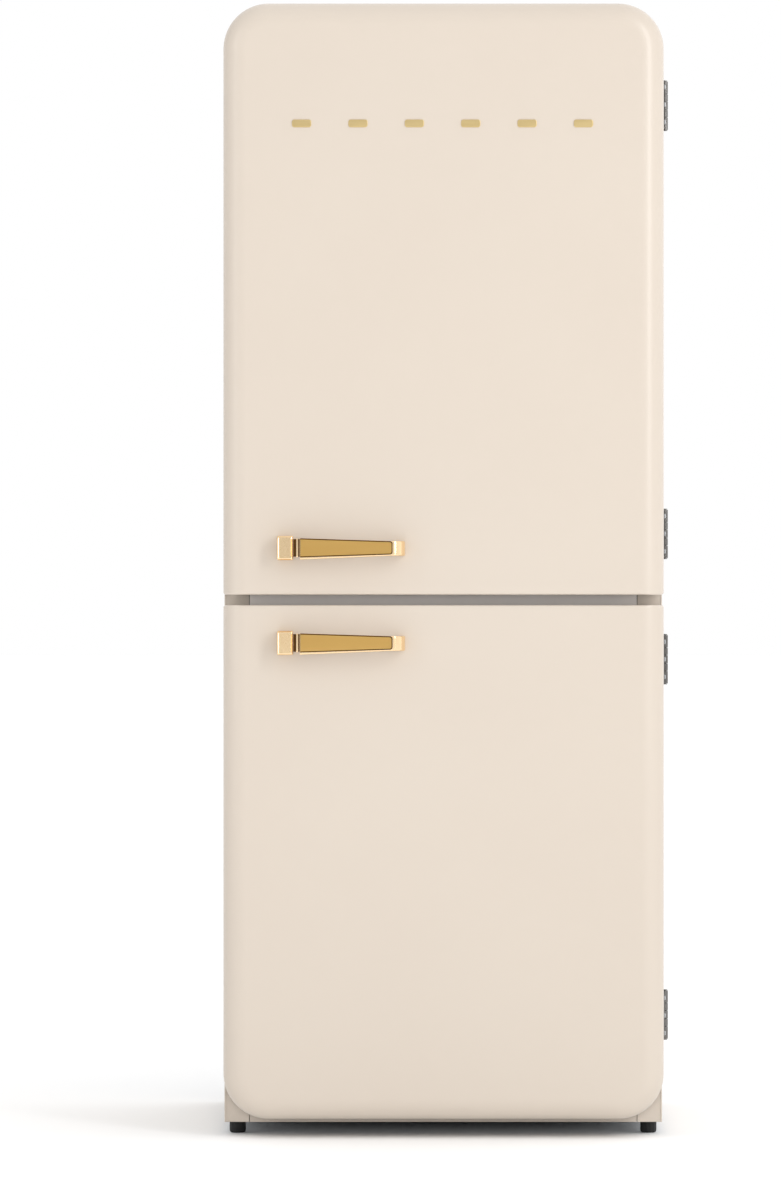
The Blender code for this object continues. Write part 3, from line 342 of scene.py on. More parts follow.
def turned(profile, centre, axis="z", sides=32, reach=lambda radius, side: radius):
    """A turned shape from (radius, place along the axis) pairs. reach may flute or notch its rings."""
    rings = []
    for radius, along in profile:
        ring = []
        for side in range(sides):
            angle = 2 * math.pi * side / sides
            out = reach(radius, side)
            point = placed(out * math.cos(angle), out * math.sin(angle), along, axis)
            ring.append(Vector(centre) + Vector(point))
        rings.append(ring)
    return loft(rings)


def screw_head(centre, axis, direction, radius):
    """A domed head with a cross recess, standing out from its seat along an axis."""
    profile = [
        ((radius * arm, radius * corner), direction * radius * height)
        for arm, corner, height in (
            (1.0, 1.0, 0.0), (1.0, 1.0, 0.18), (0.86, 0.86, 0.42), (0.60, 0.60, 0.55),
            (0.46, 0.15, 0.58), (0.46, 0.15, 0.16),
        )
    ]
    return turned(profile, centre, axis, 16, lambda pair, side: pair[side % 4 > 0])


# Hot-dip galvanised steel: flat grey with a crystal spangle about 12 mm across.
galvanised = finish(
    "galvanised_sheet", ("#8f9396", "#a6aaad"), 0.05, 0.004, 0.00001, (0.42, 0.56), Metallic=0.85
)
tree = galvanised.node_tree
place = tree.nodes["Texture Coordinate"].outputs["Object"]
SPANGLE = 0.012
crystals = add(tree, "ShaderNodeTexVoronoi", {"Scale": 1 / SPANGLE}, {"Vector": place})
shade = add(tree, "ShaderNodeRGBToBW", links={"Color": crystals.outputs["Color"]})
base = tree.nodes["Principled BSDF"].inputs["Base Color"]
links = {0: shade.outputs[0], 6: base.links[0].from_socket}
spangled = add(tree, "ShaderNodeMix", {7: linear("#b6babd")}, links, data_type="RGBA")
tree.links.new(spangled.outputs[2], base)
repaint(galvanised, "back_panel", "base_plate", "compressor_bay_panel")

RIB_HEIGHT = 0.0022
RIB_HALF_WIDTH = 0.007
RIB_MARGIN = 0.075
ribs = []
for share in (0.2, 0.5, 0.8):
    z = panel_low.z + (panel_high.z - panel_low.z) * share
    left, right = panel_low.x + RIB_MARGIN, panel_high.x - RIB_MARGIN
    rings = []
    for grow, rise in ((0.0, -0.0002), (-0.002, RIB_HEIGHT * 0.6), (-0.0035, RIB_HEIGHT)):
        w = RIB_HALF_WIDTH + grow
        outline = rounded(left - grow, right + grow, z - w, z + w, w * 0.98)
        rings.append([(x, panel_back + rise, up) for x, up in outline])
    ribs.append(loft(rings))
fit("back_panel_ribs", merged(ribs), galvanised, "galvanised_steel")

# Grey polythene foam plugs: matt and slightly waxy.
grey_plug = finish(
    "moulded_grey_polythene", ("#8b8d8e", "#969899"), 0.01, 0.0015, 0.00002, (0.45, 0.55), IOR=1.5
)
PLUG_RADIUS = 0.014
PLUG_SIDE = 0.12
PLUG_DROP = 0.045
plugs = []
for side in (-1, 1):
    centre = (case_x + side * PLUG_SIDE, panel_back, panel_high.z - PLUG_DROP)
    profile = ((PLUG_RADIUS, 0.0), (PLUG_RADIUS, 0.0012), (PLUG_RADIUS * 0.9, 0.0024),
               (PLUG_RADIUS * 0.55, 0.0026), (PLUG_RADIUS * 0.5, 0.0014))
    plugs.append(turned(profile, centre, "y"))
fit("foam_plugs", merged(plugs), grey_plug, "black_rubber")

# Zinc-plated steel screws: pale grey with a slight blue, fairly bright.
zinc_plate = finish(
    "zinc_plated_steel", ("#b9bdc2", "#cfd2d5"), 0.004, 0.0008, 0.00001, (0.22, 0.34), Metallic=1.0
)
SCREW_ROWS = 6
SCREW_INSET = 0.012
SCREW_RADIUS = 0.0036
screws = []
for side in (-1, 1):
    for row in range(SCREW_ROWS):
        share = (row + 0.5) / SCREW_ROWS
        z = panel_low.z + (panel_high.z - panel_low.z) * share
        spot = (case_x + side * (half_width - SCREW_INSET), panel_back, z)
        screws.append(screw_head(spot, "y", 1, SCREW_RADIUS))
fit("back_panel_screws", merged(screws), zinc_plate, "chrome")


# ---------------- base plate, bay and feet
# The bottom is a plate with four stud holes. Each foot is a moulded rubber pad, fluted for the fingers,
# on a steel stud with a lock nut.
FLUTES = 12
FLUTE_DEPTH = 0.035
PAD_GAP = 0.0015
STUD_RADIUS = 0.0038
NUT_RADIUS = 0.0072


def fluted(ring, side):
    """The reach of a ring, given as its radius and its flutes' share of it, with a flute every 4 points."""
    radius, depth = ring
    return radius * (1 - depth * max(math.cos(math.pi * side / 2), 0.0))


for name in ("front_foot_left", "front_foot_right", "rear_foot_left", "rear_foot_right"):
    body = name if name.startswith("front") else "cabinet"
    low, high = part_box(name)
    middle = ((low.x + high.x) / 2, (low.y + high.y) / 2, 0.0)
    radius = (high.x - low.x) / 2
    pad = case_low.z - PAD_GAP
    profile = [((radius * share, FLUTE_DEPTH if share > 0.9 else 0.0), z) for share, z in (
        (0.78, 0.0), (0.90, 0.0006), (0.98, 0.0022), (1.0, 0.0045), (1.0, pad - 0.0012), (0.94, pad),
        (0.45, pad),
    )]
    shape = turned(profile, middle, "z", FLUTES * 4, fluted)
    fit(f"{name}_pad", shape, black_rubber, "black_rubber", name, body=body)
    stud = ((STUD_RADIUS, pad - 0.002), (STUD_RADIUS, high.z))
    nut = ((0.0065, pad + 0.0002), (NUT_RADIUS, pad + 0.0008), (NUT_RADIUS, case_low.z - 0.0003))
    hardware = merged([turned(stud, middle, "z", 20), turned(nut, middle, "z", 6)])
    fit(f"{name}_stud", hardware, zinc_plate, "chrome", body=body)


# ---------------- compressor
# A hermetic compressor: two deep-drawn steel halves welded round the waist and painted black. It stands
# on two foot bars with rubber grommets. The relay clips to its side and the melt-water tray sits on
# top, where the pot's heat dries it.
bay_low, bay_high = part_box("compressor_bay_panel")
plate_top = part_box("base_plate")[1].z
pot_low, pot_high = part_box("compressor")
pot = (pot_low + pot_high) / 2
pot_half = (pot_high - pot_low) / 2

# Black stove enamel on steel: deep black with a soft gloss and a little dust-grey drift.
black_enamel = finish(
    "black_stove_enamel", ("#141415", "#1e1e1f"), 0.03, 0.002, 0.00003, (0.32, 0.46), IOR=1.5
)
WELD_HEIGHT = 0.50
POT_SIDES = 48
profile = []
for step in range(7):
    angle = math.radians(15 * step)
    profile.append((0.55 + 0.42 * math.sin(angle), 0.15 * (1 - math.cos(angle))))
profile += [(0.97, WELD_HEIGHT - 0.010), (1.0, WELD_HEIGHT - 0.004),
            (1.0, WELD_HEIGHT + 0.016), (0.97, WELD_HEIGHT + 0.022)]
for step in range(9):
    angle = math.radians(11.25 * step)
    profile.append((0.97 - 0.52 * (1 - math.cos(angle)), 0.62 + 0.38 * math.sin(angle)))
rings = []
for share, rise in profile:
    z = pot_low.z + (pot_high.z - pot_low.z) * rise
    turn = [2 * math.pi * side / POT_SIDES for side in range(POT_SIDES)]
    rings.append([
        (pot.x + pot_half.x * share * math.cos(a), pot.y + pot_half.y * share * math.sin(a), z)
        for a in turn
    ])
fit("compressor_pot", loft(rings), black_enamel, "black_enamel", "compressor")

BAR_HALF_LENGTH = 0.074
BAR_HALF_WIDTH = 0.009
BAR_UNDER, BAR_TOP = 0.0065, 0.0085
BOLT_REACH = 0.064
BOLT_RADIUS = 0.005
bars, grommets, bolts = [], [], []
for side in (-1, 1):
    y = pot.y + side * pot_half.y * 0.62
    outline = rounded(pot.x - BAR_HALF_LENGTH, pot.x + BAR_HALF_LENGTH, y - BAR_HALF_WIDTH,
                      y + BAR_HALF_WIDTH, 0.008)
    bars.append(slab(outline, "z", plate_top + BAR_UNDER, plate_top + BAR_TOP))
    for end in (-1, 1):
        spot = (pot.x + end * BOLT_REACH, y, plate_top)
        grommets.append(turned(
            ((0.0072, 0.0), (0.0072, 0.0024), (0.0056, 0.0034), (0.0072, 0.0044), (0.0072, 0.0064)), spot
        ))
        bolts.append(screw_head((spot[0], y, plate_top + BAR_TOP), "z", 1, BOLT_RADIUS))
fit("compressor_foot_bars", merged(bars), black_enamel, "black_enamel", bevel=0.0004)
fit("compressor_grommets", merged(grommets), black_rubber, "black_rubber")
fit("compressor_bolts", merged(bolts), zinc_plate, "chrome")

# White polystyrene, injection moulded: clean cool white, half gloss, faint flow marks.
white_plastic = finish(
    "moulded_white_polystyrene", ("#d9dcdb", "#e1e3e2"), 0.12, 0.004, 0.00002, (0.28, 0.36), IOR=1.59
)
relay_low, relay_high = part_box("relay_cover")
FINS = 7
FIN_MARGIN = 0.010
FIN_DEPTH = 0.002
outline = rounded(relay_low.y, relay_high.y, relay_low.z, relay_high.z, 0.005)
inner = rounded(relay_low.y + 0.003, relay_high.y - 0.003, relay_low.z + 0.003, relay_high.z - 0.003, 0.004)
shapes = [loft([
    [(relay_high.x, y, z) for y, z in outline],
    [(relay_low.x + 0.004, y, z) for y, z in outline],
    [(relay_low.x + 0.0012, y, z) for y, z in inner],
])]
for fin in range(FINS):
    z = relay_low.z + FIN_MARGIN + (relay_high.z - relay_low.z - 2 * FIN_MARGIN) * fin / (FINS - 1)
    outline = rounded(relay_low.y + FIN_MARGIN, relay_high.y - FIN_MARGIN, z - 0.0011, z + 0.0011, 0.001, 3)
    shapes.append(slab(outline, "x", relay_low.x, relay_low.x + FIN_DEPTH))
fit("relay_box", merged(shapes), white_plastic, "white_plastic", "relay_cover")


def vessel(low, high, wall, draft, radius, rim, lip):
    """An open-topped tray or drawer between two corners: drafted walls, a rounded floor, a turned rim."""

    def ring(inset, z):
        corner = max(radius - inset, wall)
        outline = rounded(low.x + inset, high.x - inset, low.y + inset, high.y - inset, corner)
        return [(x, y, z) for x, y in outline]

    floor_round = 0.006
    foot = rim + draft
    rings = [ring(foot + floor_round * 0.6, low.z), ring(foot + floor_round * 0.18, low.z + 0.0012)]
    rings.append(ring(foot, low.z + floor_round * 0.7))
    rings += [ring(rim, high.z - lip), ring(0.0, high.z - lip)]
    rings += [ring(0.0, high.z - 0.0006), ring(0.0006, high.z), ring(rim + wall - 0.0006, high.z)]
    rings += [ring(rim + wall, high.z - 0.0006), ring(foot + wall, low.z + floor_round)]
    rings.append(ring(foot + wall + floor_round * 0.5, low.z + wall))
    return loft(rings)


# Clear polystyrene: water clear with a cold tint, glossy, with a trace of flow in its thickness.
clear_plastic = finish(
    "moulded_clear_polystyrene", ("#e3ecef", "#eef4f5"), 0.10, 0.006, 0.00002, (0.06, 0.12),
    IOR=1.59, Alpha=0.27,
)
tray = vessel(*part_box("evaporation_tray"), 0.002, 0.003, 0.014, 0.001, 0.003)
fit("melt_water_tray", tray, clear_plastic, "clear_plastic", "evaporation_tray")


# ---------------- refrigerant pipes
# The hot pipe climbs from the compressor and zigzags down the back as the condenser: a steel tube with
# steel wires spot-welded across both faces, held off the panel by six clips. At its foot a copper drier
# feeds the capillary, and the copper suction pipe comes back from the evaporator.
def smooth_route(corners, radius, steps=7):
    """A route through corner points, each corner rounded by a curve that starts a radius before it."""
    route = [Vector(corners[0])]
    for before, corner, after in zip(corners, corners[1:], corners[2:]):
        before, corner, after = Vector(before), Vector(corner), Vector(after)
        start = corner + (before - corner).normalized() * radius
        end = corner + (after - corner).normalized() * radius
        for step in range(steps + 1):
            t = step / steps
            route.append(start * (1 - t) ** 2 + corner * 2 * t * (1 - t) + end * t**2)
    route.append(Vector(corners[-1]))
    return route


def pipe(name, route, radius, look, slot, *stands_for):
    """A pipe along a route, as a bevelled curve with filled ends that rides on the cabinet."""
    curve = bpy.data.curves.new(name, "CURVE")
    curve.dimensions = "3D"
    curve.bevel_depth = radius
    curve.bevel_resolution = 3
    curve.use_fill_caps = True
    spline = curve.splines.new("POLY")
    spline.points.add(len(route) - 1)
    for point, spot in zip(spline.points, route):
        point.co = (*spot, 1.0)
    spline.use_smooth = True
    curve.materials.append(look)
    made = bpy.data.objects.new(name, curve)
    bpy.context.scene.collection.objects.link(made)
    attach(made, "cabinet")
    if stands_for:
        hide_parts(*stands_for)


COIL_RADIUS = 0.0025
COIL_RUNS = 13
COIL_BEND = 0.022
COIL_SIDE = 0.060
COIL_BASE = 0.075
RISER_SIDE = 0.036
DRIER_ENTRY = 0.030
coil_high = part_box("condenser_coil")[1]
drier_low, drier_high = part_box("filter_drier")
drier_x, drier_y = (drier_low.x + drier_high.x) / 2, (drier_low.y + drier_high.y) / 2
bay_ceiling = bay_high.z - 0.001
coil_y = coil_high.y - COIL_RADIUS
coil_top = coil_high.z - COIL_RADIUS
coil_base = bay_ceiling + COIL_BASE
coil_side = half_width - COIL_SIDE
riser = case_x + half_width - RISER_SIDE
outlet = pot_high.x + 0.0013, pot.y, pot_low.z + (pot_high.z - pot_low.z) * 0.5
corners = [outlet, (riser, pot.y, outlet[2]), (riser, coil_y, outlet[2]), (riser, coil_y, coil_top)]
near, far = case_x + coil_side, case_x - coil_side
for run in range(COIL_RUNS):
    z = coil_top - (coil_top - coil_base) * run / (COIL_RUNS - 1)
    if run:
        corners.append((near, coil_y, z))
    corners.append((far, coil_y, z))
    near, far = far, near
drop = bay_ceiling - DRIER_ENTRY
corners += [(near, coil_y, drop), (near, drier_y, drop), (drier_x, drier_y, drop)]
corners.append((drier_x, drier_y, drier_high.z))
pipe("condenser_pipe", smooth_route(corners, COIL_BEND), COIL_RADIUS, black_enamel, "black_enamel",
     "condenser_coil")

WIRE_RADIUS = 0.0008
WIRE_PITCH = 0.0075
WIRE_OVERRUN = 0.012
span = 2 * (coil_side - COIL_BEND)
count = int(span / WIRE_PITCH)
wires = []
for number in range(count + 1):
    x = case_x - span / 2 + span * number / count
    for side in (-1, 1):
        spot = (x, coil_y + side * (COIL_RADIUS + WIRE_RADIUS * 0.7), 0.0)
        ends = (WIRE_RADIUS, coil_base - WIRE_OVERRUN), (WIRE_RADIUS, coil_top + WIRE_OVERRUN)
        wires.append(turned(ends, spot, "z", 6))
fit("condenser_wires", merged(wires), black_enamel, "black_enamel")

clips = []
for side, bends in ((-1, (0, 6, 10)), (1, (1, 5, 11))):
    for number in bends:
        z = coil_top - (coil_top - coil_base) * (number + 0.5) / (COIL_RUNS - 1)
        x = case_x + side * coil_side
        outline = rounded(x - 0.007, x + 0.007, z - 0.017, z + 0.017, 0.004)
        slim = rounded(x - 0.0045, x + 0.0045, z - 0.011, z + 0.011, 0.003)
        clips.append(loft([
            [(u, panel_back, v) for u, v in outline],
            [(u, panel_back + 0.003, v) for u, v in outline],
            [(u, panel_back + 0.005, v) for u, v in slim],
            [(u, coil_y + COIL_RADIUS, v) for u, v in slim],
        ]))
fit("condenser_clips", merged(clips), black_enamel, "black_enamel", bevel=0.0004)

# Drawn copper: salmon pink with brown tarnish, smooth and half bright.
copper = finish(
    "drawn_copper", ("#a8684a", "#c98a66"), 0.012, 0.003, 0.00001, (0.22, 0.38), (1, 1, 0.4), Metallic=1.0
)
drier_half = (drier_high.x - drier_low.x) / 2
profile = [(COIL_RADIUS * 1.15, 0.0), (COIL_RADIUS * 1.15, 0.004)]
for step in range(5):
    angle = math.radians(22.5 * step)
    reach = COIL_RADIUS + (drier_half - COIL_RADIUS) * math.sin(angle)
    profile.append((reach, 0.005 + 0.009 * (1 - math.cos(angle))))
length = drier_high.z - drier_low.z
profile += [(radius, length - along) for radius, along in reversed(profile)]
drier = turned(profile, (drier_x, drier_y, drier_low.z), "z", 28)
fit("copper_drier", drier, copper, "copper", "filter_drier")

LOOP_RADIUS = 0.020
LOOP_TURNS = 3
LOOP_STEPS = 20
LOOP_PITCH = 0.0030
CAPILLARY_RADIUS = 0.0011
start = Vector((drier_x, drier_y, drier_low.z))
loop_centre = Vector((drier_x - LOOP_RADIUS, drier_y + 0.004, plate_top + 0.014))
route = [start, start - Vector((0, 0, 0.006))]
for step in range(LOOP_TURNS * LOOP_STEPS + 1):
    angle = 2 * math.pi * step / LOOP_STEPS
    rise = LOOP_PITCH * step / LOOP_STEPS
    swing = Vector((math.cos(angle), math.sin(angle), 0)) * LOOP_RADIUS
    route.append(loop_centre + swing + Vector((0, 0, rise - 0.002)))
leave = route[-1]
route += smooth_route(
    [leave + Vector((0.004, 0.006, 0.003)), leave + Vector((0.018, 0.010, 0.020)),
     (leave.x + 0.018, drier_y + 0.014, bay_ceiling)], 0.010
)
pipe("capillary", route, CAPILLARY_RADIUS, copper, "copper")

SUCTION_RADIUS = 0.0038
SUCTION_BEND = 0.014
suction = [
    (pot.x - 0.030, pot.y - pot_half.y * 0.55, pot_high.z - 0.034),
    (pot.x - 0.030, bay_low.y + 0.016, pot_high.z - 0.018),
    (pot.x - 0.085, bay_low.y + 0.016, pot_high.z - 0.010),
    (pot.x - 0.085, bay_low.y + 0.016, bay_ceiling),
]
pipe("suction_pipe", smooth_route(suction, SUCTION_BEND), SUCTION_RADIUS, copper, "copper")

gland_low, gland_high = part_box("cord_gland")
gland = ((gland_low.x + gland_high.x) / 2, gland_low.y, (gland_low.z + gland_high.z) / 2)
radius = (gland_high.x - gland_low.x) / 2
length = gland_high.y - gland_low.y
SLEEVE_RIBS = 6
profile = [(radius * 0.5, 0.0), (radius, 0.0), (radius, 0.003), (radius * 0.82, 0.004)]
for rib in range(SLEEVE_RIBS):
    along = 0.005 + (length - 0.006) * rib / SLEEVE_RIBS
    reach = radius * (0.80 - 0.018 * rib)
    profile += [(reach, along), (reach, along + 0.0022), (reach - 0.0009, along + 0.0024),
                (reach - 0.0009, along + 0.0032)]
profile += [(0.0055, length), (0.0037, length), (0.0037, 0.004)]
fit("cord_sleeve", turned(profile, gland, "y", 24), black_rubber, "black_rubber", "cord_gland")


# ---------------- insulation and evaporator
# Polyurethane foam poured between the case and the liners, and a rolled aluminium plate clamped behind
# the fridge liner. Neither shows unless the case is taken apart.
# Rigid polyurethane foam: dull straw yellow, cells about 1 mm drawn at 2.5 mm so that they show.
rigid_foam = finish(
    "poured_urethane_foam", ("#cfb878", "#e3cf93"), 0.02, 0.0025, 0.0004, (0.86, 0.95), IOR=1.3
)
repaint(rigid_foam, "insulation_foam", "upper_door_foam", "lower_door_foam")
# Mill-finish aluminium: pale grey with rolling lines along its length.
rolled_aluminium = finish(
    "rolled_aluminium", ("#b9bbbd", "#cdcfd1"), 0.05, 0.003, 0.00001, (0.28, 0.40), (0.08, 1, 1), Metallic=1.0
)
repaint(rolled_aluminium, "evaporator_plate")


# ---------------- liners
# Vacuum-formed polystyrene shells. The fridge's back wall gathers its melt water in a moulded gutter with
# a drain in the middle.
formed_liner = finish(
    "vacuum_formed_polystyrene", ("#cdd1d1", "#d4d8d7"), 0.20, 0.006, 0.00003, (0.30, 0.40), IOR=1.59
)
repaint(formed_liner, "fridge_liner", "freezer_liner", "upper_door_liner", "lower_door_liner")

WALL_GAP = 0.004
GUTTER_RISE = 0.022
GUTTER_HALF = 0.19
GUTTER_DIP = 0.010
GUTTER_STEPS = 12
cover_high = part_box("crisper_cover")[1]
back_wall = cover_high.y + WALL_GAP
gutter_z = cover_high.z + GUTTER_RISE
section = ((0.0, 0.004), (-0.011, 0.004), (-0.011, 0.0), (-0.009, 0.0), (-0.008, -0.005), (0.0, -0.006))
gutter = []
for step in range(GUTTER_STEPS + 1):
    t = step / GUTTER_STEPS * 2 - 1
    dip = GUTTER_DIP * (1 - abs(t))
    x = case_x + t * GUTTER_HALF
    gutter.append([(x, back_wall + y, gutter_z + z - dip) for y, z in section])
fit("drain_gutter", loft(gutter), formed_liner, "white_plastic")
drain = turned(((0.0055, 0.0), (0.0055, 0.003), (0.004, 0.0035), (0.0035, 0.0005)),
               (case_x, back_wall - 0.005, gutter_z - 0.016), "z", 20)
fit("drain_cup", drain, black_rubber, "black_rubber")


# ---------------- shelves
# Toughened glass on the liner's ledges. Each has a white moulded trim clipped over its front edge and a
# taller one at the back that stops food touching the cold wall.
# Float glass: clear with a green edge, polished.
shelf_glass = finish(
    "toughened_float_glass", ("#cfe3db", "#d8ebe4"), 0.20, 0.02, 0.000005, (0.02, 0.05), IOR=1.52, Alpha=0.24
)
repaint(shelf_glass, "crisper_cover", "glass_shelf_1", "glass_shelf_2", "glass_shelf_3")
TRIM_NOSE = 0.0028
TRIM_REACH = 0.006
TRIM_WALL = 0.0012
TRIM_END = 0.010
BACK_SET = 0.004
for name in ("crisper_cover", "glass_shelf_1", "glass_shelf_2", "glass_shelf_3"):
    low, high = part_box(name)
    trims = []
    for y, mirrored, rise in ((low.y, False, 0.0015), (high.y - BACK_SET, True, 0.010)):
        nose, reach, seat = y - TRIM_NOSE, y + TRIM_REACH, y + 0.001
        section = [(nose, low.z - TRIM_WALL), (reach, low.z - TRIM_WALL), (reach, low.z), (seat, low.z),
                   (seat, high.z), (reach, high.z), (reach, high.z + TRIM_WALL), (y, high.z + rise),
                   (nose, high.z)]
        if mirrored:
            section = [(2 * y + BACK_SET - u, v) for u, v in section]
        trims.append(slab(section, "x", low.x + TRIM_END, high.x - TRIM_END))
    fit(f"{name}_trims", merged(trims), white_plastic, "white_plastic", bevel=0.0003)


# ---------------- drawers and door bins
# Injection-moulded clear tubs. Stiffening ribs run up the drawers' walls, and a ridged white pull is
# moulded across each drawer's front.
WALL_RIBS = 5
RIB_REACH = 0.05
PULL_RIDGES = 4
RIDGE_PITCH = 0.005
PULL_HALF = 0.07
for name in ("crisper_drawer", "freezer_drawer_1", "freezer_drawer_2", "freezer_drawer_3"):
    low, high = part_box(name)
    shapes = [vessel(low, high, 0.0025, 0.007, 0.014, 0.003, 0.006)]
    for side in (-1, 1):
        for number in range(WALL_RIBS):
            y = low.y + RIB_REACH + (high.y - low.y - 2 * RIB_REACH) * number / (WALL_RIBS - 1)
            x = (low.x if side < 0 else high.x) - side * 0.0062
            top, bottom = high.z - 0.010, low.z + 0.014
            lean = -side * 0.005
            outline = [(-0.0012, 0.0), (0.0012, 0.0), (0.0007, 0.0014), (-0.0007, 0.0014)]
            shapes.append(loft([
                [(x + lean * share - side * v, y + u, z) for u, v in outline]
                for share, z in ((1.0, bottom), (0.0, top))
            ]))
    fit(f"{name}_tub", merged(shapes), clear_plastic, "clear_plastic", name, body=name)
    ridges = []
    for ridge in range(PULL_RIDGES):
        z = high.z - 0.020 - RIDGE_PITCH * ridge
        y = low.y + 0.003 + 0.007 * (high.z - z) / (high.z - low.z)
        outline = rounded(case_x - PULL_HALF, case_x + PULL_HALF, z - 0.0012, z + 0.0012, 0.0011, 3)
        ridges.append(slab(outline, "y", y + 0.001, y - 0.0012))
    fit(f"{name}_pull", merged(ridges), white_plastic, "white_plastic", body=name)
for number in (1, 2, 3):
    name = f"door_bin_{number}"
    low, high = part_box(name)
    tub = vessel(low, high, 0.002, 0.007, 0.014, 0.003, 0.006)
    fit(f"{name}_tub", tub, clear_plastic, "clear_plastic", name, body="upper_door")


# ---------------- thermostat, lamp and door switch
# A moulded housing under the fridge's ceiling holds the thermostat and the lamp. Its face has a dial of
# raised marks round the knob; the lens below it is ribbed to spread the light of a small LED board.
repaint(white_plastic, "thermostat_housing", "door_switch")
repaint(black_rubber, "door_switch_button")

GRIPS = 14
GRIP_DEPTH = 0.05
POINTER_HALF = 0.0007
POINTER_RISE = 0.0004
knob_low, knob_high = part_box("thermostat_knob")
knob = (knob_low + knob_high) / 2
radius = (knob_high.x - knob_low.x) / 2
profile = [((radius * share, GRIP_DEPTH if share < 0.9 else 0.0), along) for share, along in (
    (1.0, 0.0), (1.0, -0.0030), (0.96, -0.0036), (0.87, -0.0042), (0.84, -0.0105), (0.78, -0.0118),
    (0.62, -0.0120),
)]
shape = turned(profile, (knob.x, knob_high.y, knob.z), "y", GRIPS * 4, fluted)
fit("control_knob", shape, white_plastic, "white_plastic", "thermostat_knob", body="thermostat_knob")
outline = rounded(knob.x - POINTER_HALF, knob.x + POINTER_HALF, knob.z + 0.002, knob.z + 0.0085, 0.0006, 3)
pointer = slab(outline, "y", knob_low.y + POINTER_RISE, knob_low.y - POINTER_RISE)
fit("knob_pointer", pointer, black_rubber, "black_rubber", body="thermostat_knob")

# The marks follow the pointer over the knob's three quarters of a turn, from its rest at the top.
MARKS = 7
MARK_STEP = 45
MARK_REACH = 0.0168
MARK_HALF = 0.001
REST_MARK_WIDTH, MARK_WIDTH = 0.0016, 0.0010
housing_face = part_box("thermostat_housing")[0].y
marks = []
for mark in range(MARKS):
    angle = math.radians(90 + MARK_STEP * mark)
    out = Vector((math.cos(angle), 0, math.sin(angle)))
    aside = Vector((-math.sin(angle), 0, math.cos(angle)))
    centre = Vector((knob.x, housing_face, knob.z)) + out * MARK_REACH
    size = MARK_WIDTH if mark else REST_MARK_WIDTH
    corners = [centre + out * u + aside * v
               for u, v in ((-MARK_HALF, -size / 2), (MARK_HALF, -size / 2), (MARK_HALF, size / 2),
                            (-MARK_HALF, size / 2))]
    marks.append(loft([[c + Vector((0, d, 0)) for c in corners] for d in (0.0002, -0.0004)]))
fit("dial_marks", merged(marks), black_rubber, "black_rubber")

LENS_RIBS = 22
LENS_ROUND = 0.0025
LENS_SHOULDER = 0.003
RIB_DEPTH = 0.0009
END_EASE = 0.0022
lens_low, lens_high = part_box("lamp_lens")
rings = []
for step in range(LENS_RIBS * 2 + 1):
    x = lens_low.x + (lens_high.x - lens_low.x) * step / (LENS_RIBS * 2)
    ease = END_EASE if step in (0, LENS_RIBS * 2) else 0.0
    side = lens_low.z + LENS_ROUND + ease
    under = lens_low.z + (0.0 if step % 2 else RIB_DEPTH) + ease
    section = ((lens_low.y, lens_high.z), (lens_low.y, side), (lens_low.y + LENS_SHOULDER, under),
               (lens_high.y - LENS_SHOULDER, under), (lens_high.y, side), (lens_high.y, lens_high.z))
    rings.append([(x, y, z) for y, z in section])
fit("ribbed_lens", loft(rings), clear_plastic, "clear_plastic", "lamp_lens")

LED_HALF = 0.0015
leds = []
for column in range(4):
    for row in range(2):
        x = lens_low.x + 0.015 + 0.020 * column
        y = lens_low.y + 0.022 + 0.026 * row
        outline = rounded(x - LED_HALF, x + LED_HALF, y - LED_HALF, y + LED_HALF, 0.0004, 2)
        leds.append(slab(outline, "z", lens_high.z - 0.0006, lens_high.z - 0.0016))
# Silicone-capped LED chips: a warm yellow cap, unlit.
led_cap = finish("silicone_led_cap", ("#e3c65a", "#efd778"), 0.002, 0.0006, 0.00001, (0.25, 0.35),
                 IOR=1.41)
fit("lamp_leds", merged(leds), led_cap, "white_plastic")


# ---------------- doors
# Each door is a deep-drawn steel pan, its edge rolled back all round in a soft quarter ellipse, and drawn
# tight where the two doors meet. It is sprayed with the case. A grey vinyl bellows with a magnet strip in
# its lip runs round the back.
ROLL_WIDTH = 0.028
ROLL_DEPTH = 0.022
SPLIT_ROUND = 0.003
DOOR_LIP = 0.014
ROLL_STEPS = 18


def door_ring(door, inset, y, split_inset=None):
    """Points round a door at a depth, set in from its edges; its edge at the split may differ."""
    kind, low, high = door
    split = inset if split_inset is None else split_inset
    radius = max(CORNER_RADIUS - inset, SPLIT_ROUND)
    left, right = low.x + inset, high.x - inset
    if kind == "upper":
        outline = rounded(left, right, low.z + split, high.z - inset, SPLIT_ROUND, 6, radius, 20)
    else:
        outline = rounded(left, right, low.z + inset, high.z - split, radius, 20, SPLIT_ROUND, 6)
    return [(x, y, z) for x, z in outline]


def rolled_edge(door, inset):
    """Rings over the rolled edge, from the side to the face, set in from the outer surface."""
    rings = []
    for step in range(ROLL_STEPS + 1):
        angle = math.radians(90 * step / ROLL_STEPS)
        depth = ROLL_DEPTH * (1 - math.sin(angle))
        rest = max(SPLIT_ROUND - depth, 0.0)
        split = SPLIT_ROUND - math.sqrt(SPLIT_ROUND**2 - rest**2)
        side = ROLL_WIDTH * (1 - math.cos(angle))
        rings.append(door_ring(door, side + inset, door[1].y + depth + inset, split + inset))
    return rings


